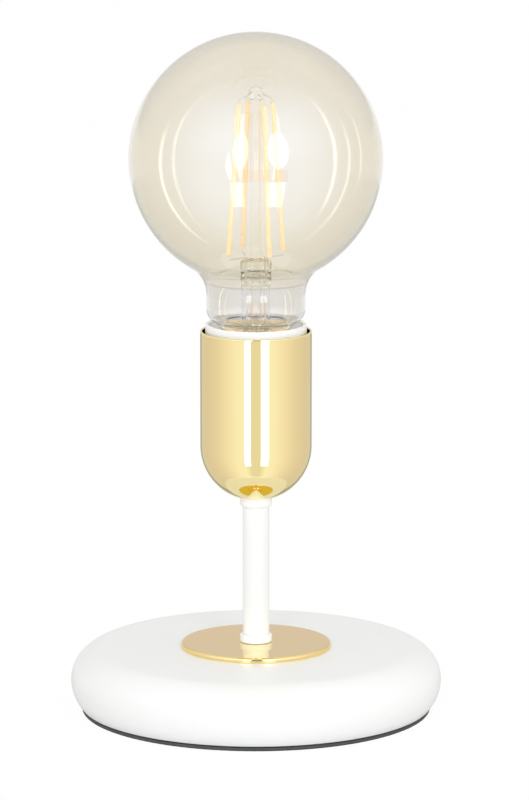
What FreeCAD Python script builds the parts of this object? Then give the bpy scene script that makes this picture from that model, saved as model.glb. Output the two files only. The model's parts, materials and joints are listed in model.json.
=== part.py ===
import FreeCAD, Part
import math
import os

# A bedside lamp with a bare globe bulb, in millimetres. The origin is the centre of the foot's underside,
# +Z is up the stem, the front is -Y, and the cable inlet is at the back, on +Y.

# Base: a spun steel shell over a cast weight, closed by a plate with a soft foot
base_diameter = 140.5
base_widest_height = 11.8
base_top_height = 24.0
shell_edge_gap = 0.2
shell_edge_inset = 3.8
shell_wall = 1.2
foot_thickness = 1.8
foot_inset = 0.3
foot_edge_round = 0.6
plate_thickness = 1.2
plate_clearance = 0.5
weight_thickness = 12.0
weight_web = 5.0
weight_inset = 0.6
weight_corner = 1.5
weight_draft_inset = 1.0
nut_pocket_radius = 16.0
boss_radius = 5.0
boss_circle_radius = 44.0
boss_count = 3
boss_first_angle = -90.0
channel_side_gap = 1.2
channel_height = 6.0

# Plate screws
plate_screw_radius = 1.5
plate_screw_length = 8.0
plate_screw_head_radius = 2.9
plate_screw_head_height = 0.9

# Cable inlet in the base's back wall
inlet_bore_radius = 3.3
inlet_wall = 1.1
inlet_flange_width = 1.2
inlet_flange_height = 1.0
inlet_flange_round = 0.5
inlet_lip_depth = 1.6

# Terminal block in the weight's channel
block_length = 16.0
block_plate_thickness = 2.0
block_barrel_radius = 3.6
block_barrel_pitch = 8.4
block_tower_height = 0.5
block_setback = 6.0
clamp_outer_radius = 2.5
clamp_bore_radius = 1.6
clamp_screw_radius = 1.25
clamp_screw_inset = 3.6
block_screw_radius = 1.25
block_screw_bite = 3.5
block_screw_head_radius = 2.0
block_screw_head_height = 1.2

# Stem: a ten millimetre tube with a disc, two collars and the parts that clamp the base to it
tube_outer_radius = 5.0
tube_wall = 1.0
tube_below_nut = 1.4
disc_radius = 28.5
disc_thickness = 2.0
disc_edge_chamfer = 0.25
stem_free_length = 55.7
collar_wall = 1.05
collar_height = 3.1
collar_round = 0.8
base_washer_radius = 11.0
base_washer_thickness = 1.2
lock_washer_radius = 8.0
lock_washer_thickness = 0.6
lock_washer_teeth = 8
nut_across_flats = 14.0
nut_thickness = 3.0
bush_wall = 0.8
bush_depth = 5.0
bush_rim_height = 1.0
bush_rim_overhang = 0.7

# Cup: a spun shell with a round bottom
cup_radius = 21.0
cup_wall = 0.8
cup_washer_thickness = 1.2

# Lampholder inside the cup
skirt_proud = 2.6
skirt_side_gap = 1.1
skirt_rim_wall = 1.4
skirt_rim_round = 0.5
skirt_sleeve_wall = 2.0
skirt_rim_depth = 4.9
skirt_overlap = 7.2
skirt_to_glass = 0.2
dome_wall = 1.8
dome_hub_radius = 7.5
dome_hub_height = 5.3
dome_hub_rise = 1.2
dome_straight = 7.65
lock_screw_radius = 1.5
lock_screw_head_inset = 0.25
lock_screw_head_height = 1.6
insert_height = 13.0
insert_below_contact = 1.0
insert_well_gap = 1.3
insert_well_depth = 3.0
terminal_pocket_height = 3.0
terminal_pocket_width = 11.0
terminal_pocket_start = 5.0
terminal_pocket_wall = 1.8
terminal_plate_gap = 0.4
terminal_screw_inset = 2.2
terminal_screw_radius = 1.5
terminal_screw_length = 4.5
terminal_screw_head_radius = 2.5
terminal_screw_head_height = 1.7
strip_thickness = 0.6
strip_width = 6.0
leaf_riser_place = 7.6
leaf_tip_place = 4.6
leaf_rise = 3.0
shell_plate_inset = 1.6
screw_shell_wall = 0.5
screw_shell_mouth = 1.8
screw_shell_flange = 4.0

# Leads from the terminal block to the lampholder
lead_radius = 1.05
lead_gap = 0.4
lead_end_gap = 0.45
lead_start_depth = 1.5
lead_straight = 6.5
lead_above_plate = 3.0
lead_turn_place = 9.0
lead_fan_start = 3.0
lead_fan_height = 7.0
lead_bend_radius = 5.0

# Bulb: a clear globe, 95 mm across, on a 27 mm screw cap
globe_radius = 47.5
glass_wall = 0.9
neck_ledge = 1.2
neck_straight = 5.29
neck_fillet = 12.5
neck_round = 5.5
neck_above_cap = 1.4
cement_gap = 0.8
seal_depth = 4.0
cap_radius = 13.1
cap_wall = 0.4
cap_height = 27.0
cap_taper_start = 4.6
cap_taper_end = 7.0
cap_taper_inset = 2.7
thread_pitch = 3.629
thread_turns = 5
cement_depth = 5.5
end_contact_radius = 4.8
end_contact_height = 1.1
end_contact_dome = 0.4
insulator_foot_radius = 5.6
insulator_top_inset = 1.4
insulator_lip = 1.4

# Glass mount inside the bulb
flare_radius = 5.5
flare_wall = 0.8
press_bottom = 45.0
press_height = 7.3
press_thickness = 5.0
press_taper = 3.5
exhaust_radius = 2.2
exhaust_wall = 0.7
exhaust_tip_gap = 2.0
exhaust_hole_radius = 0.6
exhaust_hole_rise = 2.0
centre_rod_radius = 2.0
centre_rod_rise = 3.4
bead_radius = 2.9
bead_height = 4.0

# Filaments and the wires that feed and hold them
filament_count = 4
filament_first_angle = 26.0
filament_radius = 0.95
filament_rise = 56.8
filament_bottom_spread = 11.4
filament_top_spread = 6.9
filament_end_round = 0.5
mount_wire_radius = 0.3
lead_in_radius = 0.4
pin_radius = 0.35
lead_in_place = 3.4
lead_in_rise = 1.0
pin_length = 1.5
support_bite = 1.0

# Driver in the cap
board_side_gap = 1.7
board_thickness = 1.0
driver_gap = 1.5
capacitor_radius = 3.2
capacitor_length = 6.5
capacitor_place = 4.6
bridge_length = 4.6
bridge_width = 4.0
bridge_height = 2.2
bridge_place = 5.2
resistor_radius = 1.3
resistor_length = 7.0
resistor_place = 6.2
cap_lead_radius = 0.35

# Fits
slip = 0.05
running_gap = 0.3
contact_gap = 0.15
overrun = 1.0

# Heights and radii that follow from the sizes above
base_radius = base_diameter / 2
upper_roll = base_top_height - base_widest_height
shell_edge_height = foot_thickness + shell_edge_gap
edge_drop = base_widest_height - shell_edge_height
lower_roll = (edge_drop ** 2 + shell_edge_inset ** 2) / (2 * shell_edge_inset)
edge_radius = base_radius - shell_edge_inset
edge_angle = math.asin(edge_drop / lower_roll)
tube_hole_radius = tube_outer_radius + slip
tube_bore_radius = tube_outer_radius - tube_wall

plate_top = foot_thickness + plate_thickness
plate_radius = base_radius - lower_roll + (lower_roll - shell_wall) * math.cos(edge_angle) - plate_clearance
weight_top = base_top_height - shell_wall
weight_bottom = weight_top - weight_thickness
weight_radius = base_radius - upper_roll - weight_inset
web_bottom = weight_top - weight_web
channel_roof = weight_bottom + channel_height

block_back = weight_radius - weight_draft_inset - block_setback
block_front = block_back - block_length
block_middle = (block_front + block_back) / 2
barrel_height = channel_roof - block_plate_thickness - block_barrel_radius + slip
barrel_places = (-block_barrel_pitch / 2, block_barrel_pitch / 2)
block_half_width = block_barrel_pitch / 2 + block_barrel_radius
channel_width = 2 * (block_half_width + channel_side_gap)
inlet_neck_radius = inlet_bore_radius + inlet_wall
inlet_flange_radius = inlet_neck_radius + inlet_flange_width

base_washer_bottom = web_bottom - base_washer_thickness
lock_washer_bottom = base_washer_bottom - lock_washer_thickness
nut_bottom = lock_washer_bottom - nut_thickness
tube_bottom = nut_bottom - tube_below_nut

disc_top = base_top_height + disc_thickness
cup_seat = disc_top + stem_free_length
collar_radius = tube_outer_radius + collar_wall
cup_centre = cup_seat + math.sqrt(cup_radius ** 2 - collar_radius ** 2)
cup_floor = cup_seat + cup_wall
cup_flat_radius = math.sqrt((cup_radius - cup_wall) ** 2 - (cup_centre - cup_floor) ** 2)

skirt_outer_radius = cup_radius - cup_wall - skirt_side_gap
sleeve_bore_radius = skirt_outer_radius - skirt_sleeve_wall
insert_radius = sleeve_bore_radius - running_gap
dome_radius = sleeve_bore_radius - slip
dome_sweep = dome_radius - dome_hub_radius
hub_bottom = cup_floor + cup_washer_thickness
dome_floor = hub_bottom + dome_hub_height + dome_wall
hub_top = dome_floor + dome_hub_rise
tube_top = hub_top - running_gap
lock_screw_head_radius = dome_hub_height / 2 - lock_screw_head_inset

insert_bottom = hub_bottom + dome_hub_height + dome_sweep + dome_straight
insert_top = insert_bottom + insert_height
contact_plane = insert_top + insert_below_contact
skirt_bottom = insert_bottom - skirt_overlap
skirt_top = contact_plane + cap_height + neck_above_cap - skirt_to_glass
cup_rim = skirt_top - skirt_proud
insert_well_radius = leaf_riser_place + strip_thickness + insert_well_gap
shell_riser_place = insert_well_radius
shell_plate_start = terminal_pocket_start + shell_plate_inset
terminal_pocket_end = insert_radius - terminal_pocket_wall
terminal_plate_end = terminal_pocket_end - terminal_plate_gap
terminal_screw_place = terminal_plate_end - terminal_screw_inset
lead_spacing = 2 * lead_radius + lead_gap
lead_end_place = terminal_screw_place - terminal_screw_head_radius - lead_radius - lead_end_gap
screw_shell_bore = cap_radius + running_gap
screw_shell_radius = screw_shell_bore + screw_shell_wall
thread_rise = thread_turns * thread_pitch
screw_shell_top = contact_plane + thread_rise + screw_shell_mouth
pocket_roof = insert_bottom + terminal_pocket_height
strip_bottom = pocket_roof - strip_thickness

cap_rim = contact_plane + cap_height
cap_taper_radius = cap_radius - cap_taper_inset
insulator_top_radius = cap_taper_radius - insulator_top_inset
seal_radius = cap_radius - cap_wall - cement_gap
neck_radius = seal_radius + neck_ledge + neck_round
neck_round_centre = cap_rim + neck_above_cap + neck_round
seal_bottom = cap_rim - seal_depth
seal_ledge = cap_rim + neck_above_cap
flare_sweep = seal_radius - glass_wall - flare_radius
fillet_reach = neck_radius + neck_fillet
fillet_centre = neck_round_centre + neck_straight
globe_centre = fillet_centre + math.sqrt((globe_radius + neck_fillet) ** 2 - fillet_reach ** 2)
globe_top = globe_centre + globe_radius

press_top = press_bottom + press_height
filament_bottom = press_top + lead_in_rise + pin_length
filament_top = filament_bottom + filament_rise
centre_rod_top = filament_top + centre_rod_rise
board_radius = cap_radius - cap_wall - board_side_gap
board_bottom = contact_plane + cap_taper_start + insulator_lip + capacitor_length + driver_gap
board_top = board_bottom + board_thickness


def vector(x, y, z):
    return FreeCAD.Vector(x, y, z)


UP = vector(0, 0, 1)
BACK = vector(0, 1, 0)
RIGHT = vector(1, 0, 0)


def polar(centre, radius, degrees):
    """The point (r, z) on a circle of the outline plane, at an angle from the outward direction."""
    turn = math.radians(degrees)
    return (centre[0] + radius * math.cos(turn), centre[1] + radius * math.sin(turn))


def outline(start, steps):
    """A face in the outline plane. A step is an end point, or for an arc a point on it and its end point."""
    edges = []
    here = start
    for step in list(steps) + [(start,)]:
        end = step[-1]
        if math.dist(here, end) < Part.Precision.confusion():
            continue
        a = vector(here[0], 0, here[1])
        b = vector(end[0], 0, end[1])
        if len(step) == 1:
            edges.append(Part.LineSegment(a, b).toShape())
        else:
            edges.append(Part.Arc(a, vector(step[0][0], 0, step[0][1]), b).toShape())
        here = end
    return Part.Face(Part.Wire(edges))


def turned(start, *steps):
    """A solid turned about the lamp's axis from an outline of points (r, z)."""
    return outline(start, steps).revolve(vector(0, 0, 0), UP, 360)


def rod(radius, low, high, x=0, y=0):
    return Part.makeCylinder(radius, high - low, vector(x, y, low))


def sleeve(outer, inner, low, high, x=0, y=0):
    return rod(outer, low, high, x, y).cut(rod(inner, low - overrun, high + overrun, x, y))


def block(x_low, x_high, y_low, y_high, z_low, z_high):
    return Part.makeBox(x_high - x_low, y_high - y_low, z_high - z_low, vector(x_low, y_low, z_low))


def strut(start, end, radius):
    """A straight round wire between two points."""
    run = end - start
    return Part.makeCylinder(radius, run.Length, start, run)


def fused(pieces):
    whole = pieces[0]
    if len(pieces) > 1:
        whole = whole.multiFuse(pieces[1:])
    return whole.removeSplitter()


def around(shape, count, first_angle):
    """Copies of a shape spaced evenly about the lamp's axis."""
    copies = []
    for index in range(count):
        copy = shape.copy()
        copy.rotate(vector(0, 0, 0), UP, first_angle + index * 360 / count)
        copies.append(copy)
    return copies


def to_back(shape, height):
    """Lays a shape made along +Z along +Y instead, at a height on the base's back wall."""
    laid = shape.copy()
    laid.rotate(vector(0, 0, 0), RIGHT, -90)
    laid.translate(vector(0, 0, height))
    return laid


def bent_wire(points, radius, bend_radius):
    """A round wire on straight runs that tangent arcs join."""
    edges = []
    here = points[0]
    for corner, after in zip(points[1:-1], points[2:]):
        come = (corner - here).normalize()
        go = (after - corner).normalize()
        half_turn = come.getAngle(go) / 2
        reach = bend_radius * math.tan(half_turn)
        arc_start = corner - come * reach
        arc_end = corner + go * reach
        inward = (go - come).normalize()
        arc_middle = corner + inward * (bend_radius / math.cos(half_turn) - bend_radius)
        edges.append(Part.LineSegment(here, arc_start).toShape())
        edges.append(Part.Arc(arc_start, arc_middle, arc_end).toShape())
        here = arc_end
    edges.append(Part.LineSegment(here, points[-1]).toShape())
    path = Part.Wire(edges)
    section = Part.Wire(Part.Circle(points[0], points[1] - points[0], radius).toShape())
    wire = path.makePipeShell([section], True, True)
    volume_share = wire.Volume / (math.pi * radius ** 2 * path.Length)
    print("lead length", round(path.Length, 2), "volume over section times length", round(volume_share, 4))
    return wire


# Base

def base_wall(outside, inside):
    """The base's wall, grown outward from its outer face by one value and cut inward by the other."""
    upper = (base_radius - upper_roll, base_widest_height)
    lower = (base_radius - lower_roll, base_widest_height)
    edge = -math.degrees(edge_angle)
    outer_top = upper_roll + outside
    inner_top = upper_roll - inside
    outer_low = lower_roll + outside
    inner_low = lower_roll - inside
    return turned(
        (tube_hole_radius, base_top_height + outside),
        (polar(upper, outer_top, 90),),
        (polar(upper, outer_top, 45), polar(upper, outer_top, 0)),
        (polar(lower, outer_low, edge / 2), polar(lower, outer_low, edge)),
        (polar(lower, inner_low, edge),),
        (polar(lower, inner_low, edge / 2), polar(lower, inner_low, 0)),
        (polar(upper, inner_top, 45), polar(upper, inner_top, 90)),
        ((tube_hole_radius, base_top_height - inside),),
    )


def make_base_shell():
    hole = to_back(rod(inlet_neck_radius + slip, 0, base_radius + overrun), base_widest_height)
    return base_wall(0, shell_wall).cut(hole)


def make_foot_pad():
    radius = edge_radius - foot_inset
    corner = (radius - foot_edge_round, foot_edge_round)
    return turned(
        (0, 0),
        (polar(corner, foot_edge_round, -90),),
        (polar(corner, foot_edge_round, -45), polar(corner, foot_edge_round, 0)),
        ((radius, foot_thickness),),
        ((0, foot_thickness),),
    )


def plate_screw(grow):
    """A countersunk screw with its head flush in the plate, or the hole for it when it is grown."""
    head = plate_screw_head_radius + grow
    shank = plate_screw_radius + grow
    head_top = foot_thickness + plate_screw_head_height
    return turned(
        (0, foot_thickness),
        ((head, foot_thickness),),
        ((shank, head_top),),
        ((shank, foot_thickness + plate_screw_length + grow),),
        ((0, foot_thickness + plate_screw_length + grow),),
    )


def plate_screws(grow):
    screw = plate_screw(grow)
    screw.translate(vector(boss_circle_radius, 0, 0))
    return around(screw, boss_count, boss_first_angle)


def make_bottom_plate():
    return rod(plate_radius, foot_thickness, plate_top).cut(Part.Compound(plate_screws(slip)))


def make_base_weight():
    waist = weight_radius - weight_draft_inset
    corner = (weight_radius - weight_corner, weight_top - weight_corner)
    casting = turned(
        (tube_hole_radius, weight_top),
        (polar(corner, weight_corner, 90),),
        (polar(corner, weight_corner, 45), polar(corner, weight_corner, 0)),
        ((waist, weight_bottom),),
        ((nut_pocket_radius, weight_bottom),),
        ((nut_pocket_radius, web_bottom),),
        ((tube_hole_radius, web_bottom),),
    )
    channel = block(-channel_width / 2, channel_width / 2, tube_outer_radius, base_radius, 0, channel_roof)
    boss = rod(boss_radius, plate_top, weight_bottom + overrun, boss_circle_radius)
    solid = fused([casting.cut(channel)] + around(boss, boss_count, boss_first_angle))
    return solid.cut(Part.Compound(plate_screws(slip) + [block_screw(slip)]))


def make_cable_grommet():
    lip_start = base_radius - shell_wall - inlet_lip_depth
    flange_end = base_radius + inlet_flange_height
    corner = (inlet_flange_radius - inlet_flange_round, flange_end - inlet_flange_round)
    blank = turned(
        (inlet_bore_radius, lip_start),
        ((inlet_flange_radius, lip_start),),
        (polar(corner, inlet_flange_round, 0),),
        (polar(corner, inlet_flange_round, 45), polar(corner, inlet_flange_round, 90)),
        ((inlet_bore_radius, flange_end),),
    )
    wall = base_wall(slip, shell_wall + slip)
    neck = to_back(rod(inlet_neck_radius, 0, base_radius + overrun), base_widest_height)
    return to_back(blank, base_widest_height).cut(wall.cut(neck))


# Terminal block

def along_back(radius, front, back, x, height):
    return Part.makeCylinder(radius, back - front, vector(x, front, height), BACK)


def block_screw(grow):
    """The screw that holds the terminal block up against the roof of the weight's channel."""
    face = channel_roof - block_plate_thickness
    tip = channel_roof + block_screw_bite + grow
    head = rod(block_screw_head_radius + grow, face - block_screw_head_height, face, 0, block_middle)
    shank = rod(block_screw_radius + grow, face, tip, 0, block_middle)
    return head.fuse(shank)


def clamp_screw_places():
    rows = (block_front + clamp_screw_inset, block_back - clamp_screw_inset)
    return [(x, y) for x in barrel_places for y in rows]


def clamp_screw_holes():
    return [rod(clamp_screw_radius + slip, 0, barrel_height, x, y) for x, y in clamp_screw_places()]


def barrel_bores(radius):
    front = block_front - overrun
    back = block_back + overrun
    return [along_back(radius, front, back, x, barrel_height) for x in barrel_places]


def make_terminal_block():
    face = channel_roof - block_plate_thickness
    tower_foot = barrel_height - block_barrel_radius - block_tower_height
    plate = block(-block_half_width, block_half_width, block_front, block_back, face, channel_roof)
    body = [plate]
    for x in barrel_places:
        body.append(along_back(block_barrel_radius, block_front, block_back, x, barrel_height))
    for x, y in clamp_screw_places():
        body.append(rod(clamp_outer_radius, tower_foot, barrel_height, x, y))
    head_room = rod(block_screw_head_radius + 2 * slip, 0, face, 0, block_middle)
    cuts = barrel_bores(clamp_outer_radius + slip) + clamp_screw_holes() + [head_room, block_screw(slip)]
    return fused(body).cut(Part.Compound(cuts))


def make_terminal_clamps():
    front = block_front + slip
    back = block_back - slip
    tubes = [along_back(clamp_outer_radius, front, back, x, barrel_height) for x in barrel_places]
    cuts = Part.Compound(barrel_bores(clamp_bore_radius) + clamp_screw_holes())
    return Part.Compound([tube.cut(cuts) for tube in tubes])


def make_clamp_screws():
    head = barrel_height - block_barrel_radius
    tip = barrel_height - clamp_bore_radius / 2
    return Part.Compound([rod(clamp_screw_radius, head, tip, x, y) for x, y in clamp_screw_places()])


# Stem

def collar(seat, away):
    """A ring on its seat, rounded on the outer corner away from it; away is +1 for up or -1 for down."""
    face = seat + away * collar_height
    corner = (collar_radius - collar_round, face - away * collar_round)
    return turned(
        (tube_hole_radius, seat),
        ((collar_radius, seat),),
        (polar(corner, collar_round, 0),),
        (polar(corner, collar_round, 45 * away), polar(corner, collar_round, 90 * away)),
        ((tube_hole_radius, face),),
    )


def make_stem_tube():
    return sleeve(tube_outer_radius, tube_bore_radius, tube_bottom, tube_top)


def make_base_disc():
    rim = disc_radius - disc_edge_chamfer
    return turned(
        (tube_hole_radius, base_top_height),
        ((disc_radius, base_top_height),),
        ((disc_radius, disc_top - disc_edge_chamfer),),
        ((rim, disc_top),),
        ((tube_hole_radius, disc_top),),
    )


def make_base_nut():
    corner_radius = nut_across_flats / 2 / math.cos(math.pi / 6)
    corners = []
    for side in range(6):
        x, y = polar((0, 0), corner_radius, side * 60)
        corners.append(vector(x, y, nut_bottom))
    prism = Part.Face(Part.makePolygon(corners + corners[:1])).extrude(UP * nut_thickness)
    return prism.cut(rod(tube_hole_radius, nut_bottom - overrun, lock_washer_bottom + overrun))


def make_lock_washer():
    """A washer with inner teeth, which bites the nut and the washer."""
    gap = (lock_washer_radius - tube_hole_radius) / 2
    ring = sleeve(lock_washer_radius, tube_hole_radius, lock_washer_bottom, base_washer_bottom)
    inner = tube_hole_radius - gap / 4
    low = lock_washer_bottom - overrun
    high = base_washer_bottom + overrun
    notch = block(inner, inner + gap, -gap / 2, gap / 2, low, high)
    return ring.cut(Part.Compound(around(notch, lock_washer_teeth, 0)))


def make_stem_bushes():
    """A plastic lining in each end of the tube, with a rim over the cut edge."""
    bushes = []
    for end, inward in ((tube_bottom, 1), (tube_top, -1)):
        bore = tube_bore_radius - bush_wall
        rim = tube_bore_radius + bush_rim_overhang
        bushes.append(turned(
            (bore, end - inward * bush_rim_height),
            ((rim, end - inward * bush_rim_height),),
            ((rim, end),),
            ((tube_bore_radius - slip, end),),
            ((tube_bore_radius - slip, end + inward * bush_depth),),
            ((bore, end + inward * bush_depth),),
        ))
    return Part.Compound(bushes)


# Cup and lampholder

def make_cup():
    inner = cup_radius - cup_wall
    centre = (0, cup_centre)
    outer_start = math.degrees(math.atan2(cup_seat - cup_centre, collar_radius))
    inner_start = math.degrees(math.atan2(cup_floor - cup_centre, cup_flat_radius))
    rim = (cup_radius - cup_wall / 2, cup_rim - cup_wall / 2)
    return turned(
        (tube_hole_radius, cup_seat),
        ((collar_radius, cup_seat),),
        (polar(centre, cup_radius, outer_start / 2), polar(centre, cup_radius, 0)),
        ((cup_radius, rim[1]),),
        (polar(rim, cup_wall / 2, 90), (inner, rim[1])),
        (polar(centre, inner, 0),),
        (polar(centre, inner, inner_start / 2), polar(centre, inner, inner_start)),
        ((tube_hole_radius, cup_floor),),
    )


def make_holder_dome():
    sweep = (dome_hub_radius, hub_bottom + dome_hub_height + dome_sweep)
    inner_sweep = dome_sweep - dome_wall
    shell = turned(
        (tube_hole_radius, hub_bottom),
        ((dome_hub_radius, hub_bottom),),
        (polar(sweep, dome_sweep, -90),),
        (polar(sweep, dome_sweep, -45), polar(sweep, dome_sweep, 0)),
        ((dome_radius, insert_bottom),),
        ((dome_radius - dome_wall, insert_bottom),),
        (polar(sweep, inner_sweep, 0),),
        (polar(sweep, inner_sweep, -45), polar(sweep, inner_sweep, -90)),
        ((dome_hub_radius, hub_top),),
        ((tube_hole_radius, hub_top),),
    )
    return shell.cut(lock_screw(slip))


def lock_screw(grow):
    """The grub screw through the side of the dome's hub that stops the lampholder turning on the stem."""
    height = hub_bottom + dome_hub_height / 2
    tip = vector(tube_outer_radius, 0, height)
    seat = vector(dome_hub_radius, 0, height)
    shank = Part.makeCylinder(lock_screw_radius + grow, dome_hub_radius - tube_outer_radius, tip, RIGHT)
    head = Part.makeCylinder(lock_screw_head_radius + grow, lock_screw_head_height, seat, RIGHT)
    return shank.fuse(head)


def slot(side, place):
    """The slit in the insert that a contact strip rises through."""
    x_low = min(side * place, side * (place + strip_thickness)) - slip
    x_high = x_low + strip_thickness + 2 * slip
    y_end = strip_width / 2 + slip
    return block(x_low, x_high, -y_end, y_end, pocket_roof - overrun, insert_top + overrun)


def make_holder_insert():
    body = rod(insert_radius, insert_bottom, insert_top)
    well = rod(insert_well_radius, insert_top - insert_well_depth, insert_top + overrun)
    pockets = []
    for side in (-1, 1):
        x_ends = sorted((side * terminal_pocket_start, side * terminal_pocket_end))
        y_end = terminal_pocket_width / 2
        pockets.append(block(x_ends[0], x_ends[1], -y_end, y_end, insert_bottom - overrun, pocket_roof))
    slots = [slot(-1, leaf_riser_place), slot(1, shell_riser_place)]
    return body.cut(Part.Compound([well] + pockets + slots)).cut(Part.Compound(terminal_screws(slip)))


def terminal_screws(grow):
    screws = []
    for x in (-terminal_screw_place, terminal_screw_place):
        head = rod(terminal_screw_head_radius, strip_bottom - terminal_screw_head_height, strip_bottom, x)
        tip = strip_bottom + terminal_screw_length + grow
        shank = rod(terminal_screw_radius + grow, strip_bottom, tip, x)
        screws.append(head.fuse(shank))
    return screws


def strip(start, steps):
    """A contact strip: its side view, as wide as the strip and centred on the lamp's axis."""
    side_view = outline(start, steps)
    side_view.translate(BACK * (-strip_width / 2))
    return side_view.extrude(BACK * strip_width).cut(Part.Compound(terminal_screws(slip)))


def make_centre_contact():
    """The live terminal: a plate under the insert, a riser through it and a leaf arched over the axis."""
    outer_place = leaf_riser_place + strip_thickness
    arch = (outer_place ** 2 + leaf_rise ** 2) / (2 * leaf_rise)
    apex = contact_plane - contact_gap
    centre = (0, apex - arch)
    inner_arch = arch - strip_thickness
    foot_outer = 180 - math.degrees(math.acos(outer_place / arch))
    foot_inner = 180 - math.degrees(math.acos(leaf_riser_place / inner_arch))
    tip = math.degrees(math.acos(leaf_tip_place / arch))
    return strip(
        (-terminal_plate_end, strip_bottom),
        [
            ((-leaf_riser_place, strip_bottom),),
            (polar(centre, inner_arch, foot_inner),),
            (polar(centre, inner_arch, 90), polar(centre, inner_arch, tip)),
            (polar(centre, arch, tip),),
            (polar(centre, arch, 90), polar(centre, arch, foot_outer)),
            ((-outer_place, pocket_roof),),
            ((-terminal_plate_end, pocket_roof),),
        ],
    )


def make_shell_terminal():
    """The neutral terminal: a plate under the insert and a riser to the screw shell's flange."""
    outer_place = shell_riser_place + strip_thickness
    return strip(
        (shell_plate_start, strip_bottom),
        [
            ((terminal_plate_end, strip_bottom),),
            ((terminal_plate_end, pocket_roof),),
            ((outer_place, pocket_roof),),
            ((outer_place, insert_top),),
            ((shell_riser_place, insert_top),),
            ((shell_riser_place, pocket_roof),),
            ((shell_plate_start, pocket_roof),),
        ],
    )


def make_screw_shell():
    """The socket's shell, drawn as a plain wall. Its mouth still guides the cap when the thread lets go."""
    flange = screw_shell_bore - screw_shell_flange
    return turned(
        (flange, insert_top),
        ((screw_shell_radius, insert_top),),
        ((screw_shell_radius, screw_shell_top),),
        ((screw_shell_bore, screw_shell_top),),
        ((screw_shell_bore, insert_top + screw_shell_wall),),
        ((flange, insert_top + screw_shell_wall),),
    )


def make_holder_skirt():
    """The moulded ring round the screw shell, with a thin rim that stands up round a shelf."""
    shoulder = screw_shell_radius + slip
    rim_inner = skirt_outer_radius - skirt_rim_wall
    shoulder_top = skirt_top - skirt_rim_depth
    outer_corner = (skirt_outer_radius - skirt_rim_round, skirt_top - skirt_rim_round)
    inner_corner = (rim_inner + skirt_rim_round, skirt_top - skirt_rim_round)
    return turned(
        (sleeve_bore_radius, skirt_bottom),
        ((skirt_outer_radius, skirt_bottom),),
        (polar(outer_corner, skirt_rim_round, 0),),
        (polar(outer_corner, skirt_rim_round, 45), polar(outer_corner, skirt_rim_round, 90)),
        (polar(inner_corner, skirt_rim_round, 90),),
        (polar(inner_corner, skirt_rim_round, 135), polar(inner_corner, skirt_rim_round, 180)),
        ((rim_inner, shoulder_top),),
        ((shoulder, shoulder_top),),
        ((shoulder, insert_top),),
        ((sleeve_bore_radius, insert_top),),
    )


def make_lead(side):
    """One insulated lead: out of the terminal block, up the stem and into the lampholder."""
    low = plate_top + lead_above_plate
    near = side * lead_spacing / 2
    far = side * lead_end_place
    fan_foot = hub_top + lead_fan_start
    points = [
        vector(side * block_barrel_pitch / 2, block_front + lead_start_depth, barrel_height),
        vector(side * block_barrel_pitch / 2, block_front - lead_straight, barrel_height),
        vector(near, lead_turn_place, low),
        vector(near, 0, low),
        vector(near, 0, fan_foot),
        vector(far, 0, fan_foot + lead_fan_height),
        vector(far, 0, strip_bottom),
    ]
    return bent_wire(points, lead_radius, lead_bend_radius)


# Bulb

def globe_side(inset):
    """The glass's outline from its top to its sealed lower end, moved inward by a wall's thickness."""
    centre = (0, globe_centre)
    fillet = (fillet_reach, fillet_centre)
    lean = math.degrees(math.atan2(fillet_centre - globe_centre, fillet_reach))
    shoulder = (neck_radius - neck_round, neck_round_centre)
    ball = globe_radius - inset
    hollow = neck_fillet + inset
    corner = neck_round - inset
    return [
        (polar(centre, ball, 90),),
        (polar(centre, ball, (90 + lean) / 2), polar(centre, ball, lean)),
        (polar(fillet, hollow, (360 + lean) / 2), polar(fillet, hollow, 180)),
        (polar(shoulder, corner, 0),),
        (polar(shoulder, corner, -45), polar(shoulder, corner, -90)),
        ((seal_radius - inset, seal_ledge + inset),),
        ((seal_radius - inset, seal_bottom),),
    ]


def make_bulb_globe():
    """The blown glass: the ball, the concave sweep into the neck and the narrow end inside the cap."""
    outer = globe_side(0)
    inner = globe_side(glass_wall)
    ball = outline((0, seal_bottom), outer).revolve(vector(0, 0, 0), UP, 360)
    hollow = outline((0, seal_bottom), inner).revolve(vector(0, 0, 0), UP, 360)
    return ball.cut(hollow)


def filament_ends():
    ends = []
    for index in range(filament_count):
        turn = math.radians(filament_first_angle + index * 360 / filament_count)
        outward = vector(math.cos(turn), math.sin(turn), 0)
        low = outward * filament_bottom_spread + UP * (contact_plane + filament_bottom)
        high = outward * filament_top_spread + UP * (contact_plane + filament_top)
        ends.append((low, high))
    return ends


def make_led_filaments():
    """Straight coated sticks that lean in towards their tops, each with rounded ends."""
    filaments = []
    for low, high in filament_ends():
        run = high - low
        foot = (filament_radius - filament_end_round, filament_end_round)
        head = (filament_radius - filament_end_round, run.Length - filament_end_round)
        stick = turned(
            (0, 0),
            (polar(foot, filament_end_round, -90),),
            (polar(foot, filament_end_round, -45), polar(foot, filament_end_round, 0)),
            (polar(head, filament_end_round, 0),),
            (polar(head, filament_end_round, 45), polar(head, filament_end_round, 90)),
            ((0, run.Length),),
        )
        stick.Placement = FreeCAD.Placement(low, FreeCAD.Rotation(UP, run))
        filaments.append(stick)
    return Part.Compound(filaments)


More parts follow.
